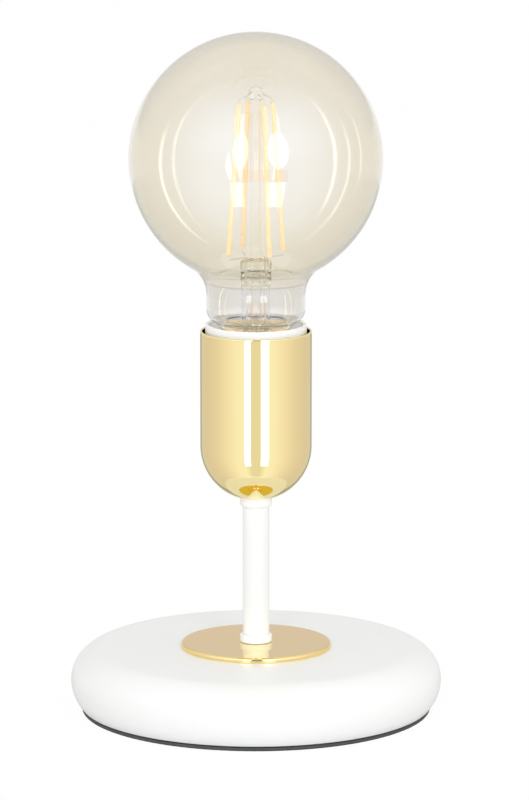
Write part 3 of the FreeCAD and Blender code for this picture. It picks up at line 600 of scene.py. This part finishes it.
def brass(name, light, deep, rough, haze, marks, depth):
    f = Finish(name)
    radius = (f.x * f.x + f.y * f.y).math("SQRT")
    rings = f.noise(marks, 3.0, f.node("ShaderNodeCombineXYZ", values={0: radius, 2: f.z}))
    cloud = f.noise(35.0, 3.0)
    return f.surface(
        Base_Color=f.mix(cloud, light, deep),
        Metallic=1.0,
        Roughness=rough + cloud * haze + rings * haze,
        Normal=f.relief(rings, depth * MM, 0.3),
    )


for name, recipe in BRASSES.items():
    finishes[name] = brass(name, *recipe)
print("brass finishes:", len(BRASSES))

# %% [markdown]
# ## The foam foot
# Under the base lies a ring of dark foam. Its edge is a mid grey band between two darker lines of painted
# shade: the upper one for the shadow in the gap under the shell, the lower one for the shadow where the foam
# meets the floor. Three thin meshes could show that, but the height picks the band just as well, and small
# cells roughen it.

# %% Foam
FOAM_GREYS = ((0.055, 0.055, 0.055), (0.09, 0.09, 0.09))
# The colour of the two dark lines of painted shade on the foam's edge.
FOAM_PAINTED_SHADE = (0.02, 0.02, 0.02)
UPPER_SHADE_BAND = (1.25 * MM, 1.5 * MM)
LOWER_SHADE_BAND = (0.2 * MM, 0.5 * MM)
f = Finish("foot_foam")
cells = f.node("ShaderNodeTexVoronoi", values={"Vector": f.place, "Scale": 2200.0}, out="Distance")
# skin is the mask of the two lines of painted shade: the shadow in the gap under the shell at the top, and
# the shadow at the floor at the bottom.
skin = step(f.z, *UPPER_SHADE_BAND).math("MAXIMUM", 1 - step(f.z, *LOWER_SHADE_BAND))
colour = f.mix(skin, f.mix(f.noise(500.0), *FOAM_GREYS), FOAM_PAINTED_SHADE)
pores = f.relief(cells, 0.2 * MM, 0.6)
finishes["foot_foam"] = f.surface(Base_Color=colour, Roughness=0.8 + cells * 0.15, Normal=pores)
print("foam ready")

# %% [markdown]
# ## The other solid finishes
# The lampholder, the insulation, the castings and the small steel parts are plain materials, and most are
# out of sight inside the lamp. One recipe fits them all: two near colours, a grain with its own scale, and
# a relief. The cement in the bulb's neck also glows a little. In the real bulb light gathers there through
# curved glass, on paths that a renderer hardly finds.

# %% Plain finishes
PLAIN = {
    # name: (colour, second colour, metallic, roughness, its range, grain over a metre, relief in mm, glow)
    "holder_white": ((0.86, 0.86, 0.85), (0.83, 0.83, 0.82), 0, 0.22, 0.08, 300, 0.01, 0),
    "porcelain": ((0.82, 0.81, 0.78), (0.78, 0.77, 0.73), 0, 0.25, 0.15, 500, 0.03, 0),
    "clear_nylon": ((0.78, 0.76, 0.70), (0.72, 0.70, 0.64), 0, 0.35, 0.15, 400, 0.02, 0),
    "white_rubber": ((0.78, 0.78, 0.77), (0.74, 0.74, 0.73), 0, 0.55, 0.2, 700, 0.03, 0),
    "insulation_brown": ((0.16, 0.06, 0.03), (0.12, 0.045, 0.02), 0, 0.45, 0.1, 600, 0.01, 0),
    "insulation_blue": ((0.03, 0.13, 0.42), (0.025, 0.10, 0.35), 0, 0.45, 0.1, 600, 0.01, 0),
    "cast_iron": ((0.10, 0.10, 0.10), (0.06, 0.06, 0.06), 0.6, 0.6, 0.2, 900, 0.2, 0),
    "plate_black": ((0.03, 0.03, 0.03), (0.045, 0.045, 0.045), 0, 0.5, 0.15, 1200, 0.03, 0),
    "zinc_steel": ((0.62, 0.63, 0.65), (0.52, 0.53, 0.56), 1, 0.28, 0.2, 600, 0.02, 0),
    "nickel_wire": ((0.97, 0.95, 0.92), (0.91, 0.89, 0.86), 1, 0.3, 0.15, 1500, 0.01, 0),
    "black_glass": ((0.02, 0.02, 0.025), (0.035, 0.03, 0.03), 0, 0.12, 0.1, 500, 0.02, 0),
    "solder": ((0.70, 0.70, 0.70), (0.58, 0.58, 0.58), 1, 0.3, 0.2, 800, 0.04, 0),
    "cement": ((0.97, 0.82, 0.56), (0.90, 0.74, 0.50), 0, 0.85, 0.1, 1500, 0.2, 0.2),
    "board_green": ((0.05, 0.25, 0.10), (0.04, 0.20, 0.08), 0, 0.4, 0.15, 900, 0.02, 0),
    "part_dark": ((0.03, 0.03, 0.035), (0.06, 0.05, 0.04), 0, 0.4, 0.2, 700, 0.02, 0),
}
GRAINS_IN_PATCH = 12


def plain(name, light, dark, metallic, rough, spread, grain, depth, shine):
    f = Finish(name)
    colour = f.mix(f.noise(grain / GRAINS_IN_PATCH, 3.0), light, dark)
    fine = f.noise(grain)
    return f.surface(
        Base_Color=colour,
        Metallic=metallic,
        Roughness=rough + (fine - 0.5) * spread,
        Normal=f.relief(fine, depth * MM, 0.5),
        Emission_Color=colour,
        Emission_Strength=shine,
    )


for name, recipe in PLAIN.items():
    finishes[name] = plain(name, *recipe)
print("plain finishes:", len(PLAIN))

# %% [markdown]
# ## Glass
# The ball is blown glass with a champagne tint that fades out at the neck. Against a white room clear glass
# is nearly invisible: its edge is seen only because light crosses more tinted glass there. An absorbing
# volume would do that by itself, but a volume can't be baked into a surface's colours. So Layer Weight
# stands for the longer way, and the height fades the tint, with a faint line where it ends. Blown glass is
# never even, so a slow noise bends its surface a little.

# %% Glass
COAT_EDGE = 164.8 * MM
COAT_FADE = (COAT_EDGE - 1 * MM, COAT_EDGE + 2 * MM)
RIM_CURVE = 0.75
RIM_GAIN = 1.6
# The ball is darkened round its foot, most at the coat's edge and less up to its middle: painted shade.
LOWER_BALL_REACH = 45 * MM
LOWER_BALL_SHADE = (0.93, 0.92, 0.86)
LINE_WIDTH = 0.5 * MM
LINE_TINT = (0.45, 0.40, 0.30)
SEAL_FADE = (149 * MM, 153 * MM)
GLASSES = {
    # name: (ball: face on and outline, neck: face on and outline, seal, strength of the line and of the
    # painted shade low on the ball, waves in mm)
    "amber_glass": (
        ((0.926, 0.900, 0.846), (0.886, 0.846, 0.750)),
        # The neck's glass is clear. Its grey face on is painted shade for the darker things seen through it,
        # and its clear outline is a painted highlight for the bright reflections along its edges.
        ((0.83, 0.81, 0.76), (1.0, 1.0, 0.99)),
        (0.99, 0.985, 0.975), 0.35, 0.02,
    ),
    "clear_glass": (
        ((0.995, 0.99, 0.965), (0.99, 0.98, 0.93)),
        ((0.995, 0.995, 0.99), (0.995, 0.995, 0.99)),
        (0.995, 0.995, 0.99), 0.0, 0.1,
    ),
}


def glass(name, ball, neck, seal, line_and_shade, waves):
    f = Finish(name)
    facing = f.node("ShaderNodeLayerWeight", values={"Blend": 0.5}, out="Facing")
    rim = (facing ** RIM_CURVE * RIM_GAIN).math("MINIMUM", 1)
    # Painted shade: the colour of the ball is darkened round its foot, fading out upwards.
    shaded_ball = f.mix(hill(f.z, COAT_EDGE, LOWER_BALL_REACH) * line_and_shade, f.mix(rim, *ball), LOWER_BALL_SHADE, "MULTIPLY")
    # On the neck the colour is darker face on and clear at the outline: painted shade in the middle, painted
    # highlight at the edges.
    upper = f.mix(step(f.z, *COAT_FADE), f.mix(facing ** 2, *neck), shaded_ball)
    edged = f.mix(hill(f.z, COAT_EDGE, LINE_WIDTH) * line_and_shade, upper, LINE_TINT)
    return f.surface(
        Base_Color=f.mix(step(f.z, *SEAL_FADE), seal, edged),
        Roughness=f.noise(90.0) * 0.01,
        IOR=1.5,
        Transmission_Weight=1.0,
        Normal=f.relief(f.noise(28.0, 1.0), waves * MM, 0.5),
    )


for name, recipe in GLASSES.items():
    finishes[name] = glass(name, *recipe)
print("glass finishes:", len(GLASSES))

# %% [markdown]
# ## Phosphor
# A filament that is off looks like a pale yellow stick of wax, with a little light caught in it and a faint
# row of chips under its skin. Object coordinates can't tell how far along a leaning stick a point lies, so
# the chips come from an attribute that the Geometry Nodes tree further down writes.

# %% Phosphor
CHIP_COUNT = 28
CHIP_SHARE = 0.35
CHIP_TONE = (0.98, 0.84, 0.58)
PHOSPHOR = ((0.96, 0.76, 0.46), (0.94, 0.70, 0.38))
PHOSPHOR_GLOW = 0.12
f = Finish("phosphor")
along = f.node("ShaderNodeAttribute", {"attribute_name": "along"}, out="Fac")
chips = (along * (CHIP_COUNT * 2 * math.pi)).math("SINE") * 0.5 + 0.5
colour = f.mix(chips * CHIP_SHARE, f.mix(f.noise(700.0), *PHOSPHOR), CHIP_TONE)
finishes["phosphor"] = f.surface(
    Base_Color=colour,
    Roughness=0.4 + f.noise(900.0) * 0.15,
    Normal=f.relief(chips, 0.03 * MM, 0.5),
    Emission_Color=colour,
    Emission_Strength=PHOSPHOR_GLOW,
)
print("finishes:", len(finishes))

# %% [markdown]
# ## The ends that all trees share
# Two Geometry Nodes trees make the pieces below, and both end alike: real geometry in place of instances,
# and smooth faces whose edges stay crisp where they turn sharply. A Grid node's faces come flat, so they
# are smoothed before the edges.

# %% The start and the end of a tree
CRISP_ANGLE = 32


def new_tree(name, inputs):
    tree = bpy.data.node_groups.new(name, "GeometryNodeTree")
    face = tree.interface
    face.new_socket("Geometry", in_out="INPUT", socket_type="NodeSocketGeometry")
    for label, kind in inputs:
        face.new_socket(label, in_out="INPUT", socket_type="NodeSocket" + kind)
    face.new_socket("Geometry", in_out="OUTPUT", socket_type="NodeSocketGeometry")
    return Plan(tree)


def finished(plan, geometry, material, second=None, where=None):
    """The last nodes of every tree, with its one or two materials."""
    angle = plan.node("GeometryNodeInputMeshEdgeAngle")
    crisp = angle.math("GREATER_THAN", math.radians(CRISP_ANGLE))
    real = plan.node("GeometryNodeRealizeInstances", values={0: geometry})
    for domain, chosen in (("FACE", True), ("EDGE", 1 - crisp)):
        values = {"Geometry": real, "Shade Smooth": chosen}
        real = plan.node("GeometryNodeSetShadeSmooth", {"domain": domain}, values)
    dressed = plan.node("GeometryNodeSetMaterial", values={"Geometry": real, "Material": material})
    if second:
        values = {"Geometry": dressed, "Selection": where, "Material": second}
        dressed = plan.node("GeometryNodeSetMaterial", values=values)
    plan.node("NodeGroupOutput", values={0: dressed})


print("edges stay crisp from", CRISP_ANGLE, "degrees")

# %% [markdown]
# ## A tree for turned pieces
# The cup, the globe and the threads follow one rule: an outline goes round the lamp's axis. The Screw
# modifier does that for plain rings, but not for oval ones or for a thread that fades out, so a tree does
# it. Its own mesh is the outline, a row of points with a width, a depth and a height. A grid with one row
# for each point is rolled up round the axis, and its seam and poles are merged. A point whose depth is
# smaller than its width gives an oval ring, as in the glass mount's pinched press. An attribute says how
# deep the screw thread cuts at each point.

# %% The tree for turned pieces
WELD = 5e-7


def sampled(source, row, kind, value):
    """A value at one of the source's points."""
    settings = {"data_type": kind, "domain": "POINT"}
    values = {"Geometry": source, "Value": value, "Index": row}
    return source.plan.node("GeometryNodeSampleIndex", settings, values)


plan = new_tree("turned", (
    ("Segments", "Int"), ("Pitch", "Float"), ("Thread Depth", "Float"), ("Finish", "Material"),
))
given = plan.node("NodeGroupInput", out="Geometry")
segments = given.other("Segments")
count = plan.node("GeometryNodeAttributeDomainSize", {"component": "MESH"}, {0: given}, "Point Count")
grid = plan.node("GeometryNodeMeshGrid", values={"Vertices X": segments + 1, "Vertices Y": count})
index = plan.node("GeometryNodeInputIndex")
row = index.math("MODULO", count)
share = (index / count).math("FLOOR") / segments
point = sampled(given, row, "FLOAT_VECTOR", plan.node("GeometryNodeInputPosition"))
width = plan.node("ShaderNodeSeparateXYZ", values={0: point})
height = width.other("Z")
named = plan.node("GeometryNodeInputNamedAttribute", {"data_type": "FLOAT"}, {"Name": "cut"})
cut = sampled(given, row, "FLOAT", named)
phase = (height / given.other("Pitch") - share) * (2 * math.pi)
groove = (0.5 - phase.math("COSINE") * 0.5) * cut * given.other("Thread Depth")
angle = share * (2 * math.pi)
x = (width - groove) * angle.math("COSINE")
y = (width.other("Y") - groove) * angle.math("SINE")
place = plan.node("ShaderNodeCombineXYZ", values={0: x, 1: y, 2: height})
rolled = plan.node("GeometryNodeSetPosition", values={"Geometry": grid, "Position": place})
merged = plan.node("GeometryNodeMergeByDistance", values={"Geometry": rolled, "Distance": WELD})
faces = plan.node("GeometryNodeInputMeshEdgeNeighbors")
settings = {"domain": "EDGE", "mode": "EDGE_FACE"}
values = {"Geometry": merged, "Selection": 1 - faces}
finished(plan, plan.node("GeometryNodeDeleteGeometry", settings, values), given.other("Finish"))
turned_tree = plan.tree
print("turned tree nodes:", len(turned_tree.nodes))

# %% [markdown]
# ## From a tree to a plain mesh
# The packed part keeps plain meshes, so each tree is run once and its result replaces the outline. Inputs
# are set by the socket's identifier, which stays the same when a socket is renamed.

# %% Running a tree
def run_tree(name, mesh, tree, inputs):
    maker = bpy.data.objects.new(name, mesh)
    bpy.context.scene.collection.objects.link(maker)
    modifier = maker.modifiers.new(tree.name, "NODES")
    modifier.node_group = tree
    for item in tree.interface.items_tree:
        if item.item_type == "SOCKET" and item.in_out == "INPUT" and item.name in inputs:
            modifier[item.identifier] = inputs[item.name]
    graph = bpy.context.evaluated_depsgraph_get()
    solid = bpy.data.meshes.new_from_object(maker.evaluated_get(graph))
    maker.modifiers.clear()
    maker.data = solid
    solid.name = name
    print(name, "faces:", len(solid.polygons))
    return maker


def shown(piece, body, slot, *replaced):
    """Puts a finished piece on its body, in place of the CAD nodes that it stands for."""
    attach(piece, body)
    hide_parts(*replaced)


print("trees can be run")

# %% [markdown]
# ## Outlines
# An outline is a list of points, with its round stretches as arcs. Smooth shading blends the directions of
# neighbouring faces. On the cup's long straight wall the blend would reach from end to end and bend every
# reflection. One more ring close to each end keeps the blend there and the wall's shine straight.

# %% Outlines in millimetres
LONG_RUN = 3.0
HOLD = 0.1


def arc(centre, radius, start, end, steps):
    """Points on an arc round (radius, height), from one angle to another in degrees."""
    angles = [math.radians(start + (end - start) * i / steps) for i in range(steps + 1)]
    return [(centre[0] + radius * math.cos(a), centre[1] + radius * math.sin(a)) for a in angles]


def held(points):
    """The points, with one more near both ends of each long straight run."""
    rings = [points[0]]
    for first, second in zip(points, points[1:]):
        length = math.dist(first[:3], second[:3])
        if length > LONG_RUN:
            for share in (HOLD / length, 1 - HOLD / length):
                rings.append(tuple(a + (b - a) * share for a, b in zip(first, second)))
        rings.append(second)
    return rings


def turn(name, outline, finish, body, node, segments, pitch=1.0, depth=0.0):
    """Turns an outline of (radius, height) or (width, depth, height, cut) points, in place of a CAD node."""
    points = held([point if len(point) == 4 else (point[0], point[0], point[1], 0) for point in outline])
    mesh = bpy.data.meshes.new(name)
    mesh.from_pydata([Vector(point[:3]) * MM for point in points], [], [])
    cuts = mesh.attributes.new("cut", "FLOAT", "POINT")
    for item, point in zip(cuts.data, points):
        item.value = point[3]
    inputs = {
        "Segments": segments, "Pitch": pitch * MM, "Thread Depth": depth * MM, "Finish": finishes[finish],
    }
    shown(run_tree(name, mesh, turned_tree, inputs), body, finish, node)


def corners_of(node):
    """The lowest and the highest corner of a CAD node."""
    return [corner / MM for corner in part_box(node)]


print("ready to turn")

# %% [markdown]
# ## The cup
# The cup is spun from thin brass: a half ball runs into a straight wall with a rolled lip. Its mirror
# finish shows every flat of the CAD's mesh, so it is turned again here with far more points.

# %% The cup
low, high = corners_of("cup")
CUP_RADIUS = high.x
CUP_WALL = 0.8
COLLAR_RADIUS = 6.05
STEM_HOLE = 5.05
inner = CUP_RADIUS - CUP_WALL
centre = (0, low.z + math.sqrt(CUP_RADIUS ** 2 - COLLAR_RADIUS ** 2))
floor = low.z + CUP_WALL
foot = math.degrees(math.atan2(low.z - centre[1], COLLAR_RADIUS))
inner_foot = -math.degrees(math.acos(math.sqrt(inner ** 2 - (centre[1] - floor) ** 2) / inner))
lip = (CUP_RADIUS - CUP_WALL / 2, high.z - CUP_WALL / 2)
cup_outline = (
    [(STEM_HOLE, low.z)]
    + arc(centre, CUP_RADIUS, foot, 0, steps=40)
    + arc(lip, CUP_WALL / 2, 0, 180, steps=12)
    + arc(centre, inner, 0, inner_foot, steps=40)
    + [(STEM_HOLE, floor), (STEM_HOLE, low.z)]
)
turn("brass_cup", cup_outline, "polished_brass", "lamp", "cup", segments=256)

# %% [markdown]
# ## The disc
# The brass disc lies flat on the base. Its rim is turned round, so it catches a bright line of light along
# the front. The CAD has a small chamfer there. A Bevel modifier could round it, but an arc is exact.

# %% The disc
low, high = corners_of("base_disc")
DISC_ROUND = 1.1
DISC_EASE = 0.25
disc_outline = (
    [(STEM_HOLE, low.z), (high.x - DISC_EASE, low.z), (high.x, low.z + DISC_EASE)]
    + arc((high.x - DISC_ROUND, high.z - DISC_ROUND), DISC_ROUND, 0, 90, steps=12)
    + [(STEM_HOLE, high.z), (STEM_HOLE, low.z)]
)
turn("brass_disc", disc_outline, "satin_brass", "lamp", "base_disc", segments=192)

# %% [markdown]
# ## The threads
# A bulb's cap has a round thread, rolled into its thin wall, and the socket has the matching one. Both
# follow the same helix, so the gap between them is the same all round, at rest and while the bulb turns and
# climbs. The CAD has plain walls, because a helix in a solid is slow to build and to fit. The thread runs
# out softly at its ends, where its cut fades to nothing.

# %% Threaded tubes
THREAD_PITCH = 3.629
THREAD_DEPTH = 0.9
THREAD_STEP = 0.2


def cut_between(starts, full, fades, ends):
    """How deep the thread cuts, as a function of height."""

    def cut(z):
        share = min(max(min((z - starts) / (full - starts), (ends - z) / (ends - fades)), 0), 1)
        return share ** 2 * (3 - 2 * share)

    return cut


def thread_tube(outer, inner, bottom, top, cut):
    """The points of the outer face going up and of the inner face coming down."""
    count = max(1, round((top - bottom) / THREAD_STEP))
    heights = [bottom + (top - bottom) * i / count for i in range(count + 1)]
    up = [(outer, outer, z, cut(z)) for z in heights]
    return up + [(inner, inner, z, cut(z)) for z in reversed(heights)]


print("thread pitch", THREAD_PITCH, "mm")

# %% [markdown]
# ## The cap and the socket's shell
# The cap narrows at its foot to the insulator. The shell stands on a flange that is screwed to the insert.

# %% The cap and the shell
low, high = corners_of("bulb_cap")
CAP_RADIUS = high.x
CAP_WALL = 0.4
CAP_TAPER = 2.7
CAP_FOOT = CAP_RADIUS - CAP_TAPER
CAP_FOOT_HEIGHT = 2.4
thread = cut_between(
    starts=low.z + CAP_FOOT_HEIGHT, full=low.z + 4.0, fades=high.z - 7.5, ends=high.z - 5.5,
)
cap_outline = (
    [(CAP_FOOT, low.z)]
    + thread_tube(CAP_RADIUS, CAP_RADIUS - CAP_WALL, low.z + CAP_FOOT_HEIGHT, high.z, thread)
    + [(CAP_FOOT - CAP_WALL, low.z), (CAP_FOOT, low.z)]
)
turn("threaded_cap", cap_outline, "cap_brass", "bulb", "bulb_cap", 128, THREAD_PITCH, THREAD_DEPTH)

low, high = corners_of("screw_shell")
SHELL_WALL = 0.5
SHELL_BORE = high.x - SHELL_WALL
FLANGE_WIDTH = 4.0
FLANGE_BORE = SHELL_BORE - FLANGE_WIDTH
thread = cut_between(starts=low.z + 1.5, full=low.z + 4.5, fades=high.z - 1.0, ends=high.z - 0.2)
shell_outline = (
    [(FLANGE_BORE, low.z), (high.x, low.z)]
    + thread_tube(high.x, SHELL_BORE, low.z + SHELL_WALL, high.z, thread)
    + [(FLANGE_BORE, low.z + SHELL_WALL), (FLANGE_BORE, low.z)]
)
turn("threaded_shell", shell_outline, "contact_brass", "lamp", "screw_shell", 128, THREAD_PITCH, THREAD_DEPTH)

# %% [markdown]
# ## The globe
# The glass is a ball that sweeps into a narrow neck, steps in under it, and ends in a seal inside the cap.
# A single surface could stand for thin glass. This is a real wall with an inner face, because the light
# bends at both faces and each gives its own reflection.

# %% The globe
low, high = corners_of("bulb_globe")
GLOBE_RADIUS = high.x
GLASS_WALL = 0.9
SEAL_RADIUS = 11.9
LEDGE_HEIGHT = 5.4
LEDGE_WIDTH = 1.2
NECK_FILLET = 12.5
NECK_ROUND = 5.5


def glass_side(inset):
    """One face of the glass from its seal to its top, moved in by a wall's thickness."""
    centre = high.z - GLOBE_RADIUS
    ledge = low.z + LEDGE_HEIGHT
    neck = SEAL_RADIUS + LEDGE_WIDTH + NECK_ROUND
    reach = neck + NECK_FILLET
    fillet = centre - math.sqrt((GLOBE_RADIUS + NECK_FILLET) ** 2 - reach ** 2)
    lean = math.degrees(math.atan2(fillet - centre, reach))
    return (
        [(SEAL_RADIUS - inset, low.z), (SEAL_RADIUS - inset, ledge + inset)]
        + arc((neck - NECK_ROUND, ledge + NECK_ROUND), NECK_ROUND - inset, -90, 0, steps=28)
        + arc((reach, fillet), NECK_FILLET + inset, 180, 180 + lean, steps=40)
        + arc((0, centre), GLOBE_RADIUS - inset, lean, 90, steps=96)[1:]
    )


globe_outline = glass_side(0) + glass_side(GLASS_WALL)[::-1] + [(SEAL_RADIUS, low.z)]
turn("glass_globe", globe_outline, "amber_glass", "bulb", "bulb_globe", segments=208)

# %% [markdown]
# ## The glass mount
# Inside the neck stands a clear tube that is pinched flat at its top round the two feed wires, with a thin
# tube for the gas below and a rod with a bead above. On the bench all of it is melted into one piece.
# Separate cylinders would show inner walls through the glass, so it is one outline, and the pinch is a run
# of oval rings.

# %% The pinched press
low, high = corners_of("bulb_glass_mount")
FLARE_RADIUS = 5.5
PRESS_BOTTOM = 165.2
PRESS_TOP = PRESS_BOTTOM + 7.3
PRESS_WIDTH = FLARE_RADIUS + 0.35
PRESS_DEPTH = 2.5
PRESS_ROUND = 1.2
PINCH_HEIGHT = 3.6
PINCH_STEPS = 12


def pinched():
    """Round below, flat above, and rounded over at the top."""
    rings = []
    for i in range(PINCH_STEPS + 1):
        share = i / PINCH_STEPS
        ease = share * share * (3 - 2 * share)
        width = FLARE_RADIUS + (PRESS_WIDTH - FLARE_RADIUS) * ease
        depth = FLARE_RADIUS + (PRESS_DEPTH - FLARE_RADIUS) * ease
        rings.append((width, depth, PRESS_BOTTOM + PINCH_HEIGHT * share, 0))
    for across, height in arc((0, PRESS_TOP - PRESS_ROUND), PRESS_ROUND, 0, 90, steps=6)[1:]:
        drop = PRESS_ROUND - across
        rings.append((PRESS_WIDTH - drop, PRESS_DEPTH - drop, height, 0))
    return rings


print("press", 2 * PRESS_WIDTH, "by", 2 * PRESS_DEPTH, "mm")

# %% [markdown]
# ## The rest of the mount
# The outline starts at the tip of the thin tube, runs up into the hollow round it, down the flare's inner
# face to the seal, back up its outer face, over the press and up the rod to the bead. Last comes the bore.

# %% The glass mount
FLARE_WALL = 0.8
ROD_RADIUS = 2.0
ROD_FILLET = 0.6
EXHAUST_RADIUS = 2.2
BORE_RADIUS = 1.5
BORE_TOP = PRESS_BOTTOM + 1.0
BEAD_RADIUS = 2.9
BEAD_BELOW_TOP = 2.0
BEAD_STARTS = -44
BEAD_NECK = 2.4
SEAL_GAP = 0.03
SEAL_HEIGHT = 143.2 - SEAL_GAP
sweep = SEAL_RADIUS - GLASS_WALL - FLARE_RADIUS
flare = (FLARE_RADIUS + sweep, SEAL_HEIGHT + sweep)
tip = (0, low.z + EXHAUST_RADIUS)
bead = (0, high.z - BEAD_BELOW_TOP)
half = (FLARE_RADIUS - FLARE_WALL - EXHAUST_RADIUS) / 2
hollow = (EXHAUST_RADIUS + half, PRESS_BOTTOM - FLARE_WALL - half)
fillet = (ROD_RADIUS + ROD_FILLET, PRESS_TOP + ROD_FILLET)
mount_outline = (
    arc(tip, EXHAUST_RADIUS, -90, 0, steps=10)
    + arc(hollow, half, 180, 0, steps=10)
    + arc(flare, sweep + FLARE_WALL, 180, 270, steps=16)
    + [(SEAL_RADIUS, SEAL_HEIGHT - FLARE_WALL), (SEAL_RADIUS, SEAL_HEIGHT)]
    + arc(flare, sweep, 270, 180, steps=16)
    + pinched()
    + arc(fillet, ROD_FILLET, 270, 180, steps=5)
    + [(ROD_RADIUS, bead[1] - BEAD_NECK)]
    + arc(bead, BEAD_RADIUS, BEAD_STARTS, 90, steps=12)
    + [(0, BORE_TOP), (BORE_RADIUS, BORE_TOP)]
    + arc(tip, BORE_RADIUS, 0, -90, steps=8)
)
turn("glass_mount", mount_outline, "clear_glass", "bulb", "bulb_glass_mount", segments=96)

# %% [markdown]
# ## The filaments
# Each filament is a strip with a row of tiny chips, dipped in phosphor, with a bare metal tab at both ends.
# A plain cylinder would miss the swelling chips and the round ends. So a tree sweeps a round section along
# each line of its mesh, lets it swell a little at every chip, rounds the ends, and sets a tab on each.

# %% The tree for filaments
RINGS_PER_CHIP = 6
CHIP_SWELL = 0.03
END_SHARPNESS = 60
NARROWEST = 0.25
SECTION_POINTS = 20
TAB_SIDES = 10
TAB_SHARE = 0.4


def filament_width(along, chips):
    """The radius along a filament, as a share of its full radius."""
    swell = (along * chips * (2 * math.pi)).math("COSINE") * -CHIP_SWELL + 1
    to_end = (along - 0.5).math("ABSOLUTE") * -2 + 1
    rounded = (1 - (1 - to_end * END_SHARPNESS).math("MAXIMUM", 0) ** 2).math("SQRT")
    return swell * rounded.math("MAXIMUM", NARROWEST)


def marked(geometry, domain, name, value):
    """The geometry with a named value on its points or faces."""
    settings = {"data_type": "FLOAT", "domain": domain}
    values = {"Geometry": geometry, "Name": name, "Value": value}
    return geometry.plan.node("GeometryNodeStoreNamedAttribute", settings, values)


def end_tabs(plan, given, lines):
    """A rod on both ends of every line, marked as bare."""
    thin = given.other("Radius") * TAB_SHARE
    values = {"Vertices": TAB_SIDES, "Radius": thin, "Depth": given.other("Tab Length")}
    rod = plan.node("GeometryNodeMeshCylinder", values=values)
    tangent = plan.node("GeometryNodeInputTangent")
    return plan.node("GeometryNodeInstanceOnPoints", values={
        "Points": lines,
        "Selection": plan.node("GeometryNodeCurveEndpointSelection"),
        "Instance": marked(rod, "FACE", "bare", 1.0),
        "Rotation": plan.node("FunctionNodeAlignRotationToVector", {"axis": "Z"}, {"Vector": tangent}),
    })


plan = new_tree("filaments", (
    ("Radius", "Float"), ("Chips", "Int"), ("Finish", "Material"),
    ("Tab Length", "Float"), ("Tab Finish", "Material"),
))
given = plan.node("NodeGroupInput", out="Geometry")
chips = given.other("Chips")
lines = plan.node("GeometryNodeMeshToCurve", values={0: given})
rings = chips * RINGS_PER_CHIP + 1
fine = plan.node("GeometryNodeResampleCurve", values={"Curve": lines, "Count": rings})
along = plan.node("GeometryNodeSplineParameter", out="Factor")
radius = filament_width(along, chips) * given.other("Radius")
sized = plan.node("GeometryNodeSetCurveRadius", values={"Curve": fine, "Radius": radius})
path = marked(sized, "POINT", "along", along)
values = {"Resolution": SECTION_POINTS, "Radius": 1.0}
section = plan.node("GeometryNodeCurvePrimitiveCircle", values=values)
values = {"Curve": path, "Profile Curve": section, "Fill Caps": True, "Scale": radius}
skin = plan.node("GeometryNodeCurveToMesh", values=values)
both = plan.node("GeometryNodeJoinGeometry")
for part in (skin, end_tabs(plan, given, fine)):
    plan.tree.links.new(part.socket, both.socket.node.inputs[0])
bare = plan.node("GeometryNodeInputNamedAttribute", {"data_type": "FLOAT"}, {"Name": "bare"})
finished(plan, both, given.other("Finish"), given.other("Tab Finish"), bare.math("GREATER_THAN", 0.5))
filament_tree = plan.tree
print("filament tree nodes:", len(filament_tree.nodes))

# %% [markdown]
# ## Four filaments
# Four filaments lean in towards the bead at the top, evenly spaced round the rod. Each one is a single edge
# from its foot to its head, and the tree does the rest.

# %% Four filaments
FILAMENT_COUNT = 4
FIRST_ANGLE = 26.0
FILAMENT_RADIUS = 0.95
TAB_LENGTH = 1.6
FILAMENT_ENDS = ((11.4, 175.0), (6.9, 231.8))  # distance from the axis and height, of the foot and the head
points = []
for index in range(FILAMENT_COUNT):
    angle = math.radians(FIRST_ANGLE + index * 360 / FILAMENT_COUNT)
    outward = Vector((math.cos(angle), math.sin(angle), 0))
    points += [outward * away * MM + Vector((0, 0, height * MM)) for away, height in FILAMENT_ENDS]
mesh = bpy.data.meshes.new("filaments")
mesh.from_pydata(points, [(i, i + 1) for i in range(0, len(points), 2)], [])
inputs = {
    "Radius": FILAMENT_RADIUS * MM, "Chips": CHIP_COUNT, "Finish": finishes["phosphor"],
    "Tab Length": TAB_LENGTH * MM, "Tab Finish": finishes["nickel_wire"],
}
shown(run_tree("filaments", mesh, filament_tree, inputs), "bulb", "phosphor", "led_filaments")

# %% [markdown]
# ## The pieces that stay as they came
# All other shapes are right as the CAD has them, so their meshes aren't touched. Each gets the finish of
# its slot in the part's record.

# %% Finishes for the CAD pieces
slot_of = {row["node"]: row["material_slot"] for row in frame["record"]["subparts"]}
for name, node in nodes.items():
    node.data.materials.clear()
    node.data.materials.append(finishes[slot_of[name]])
print("dressed:", len(slot_of))
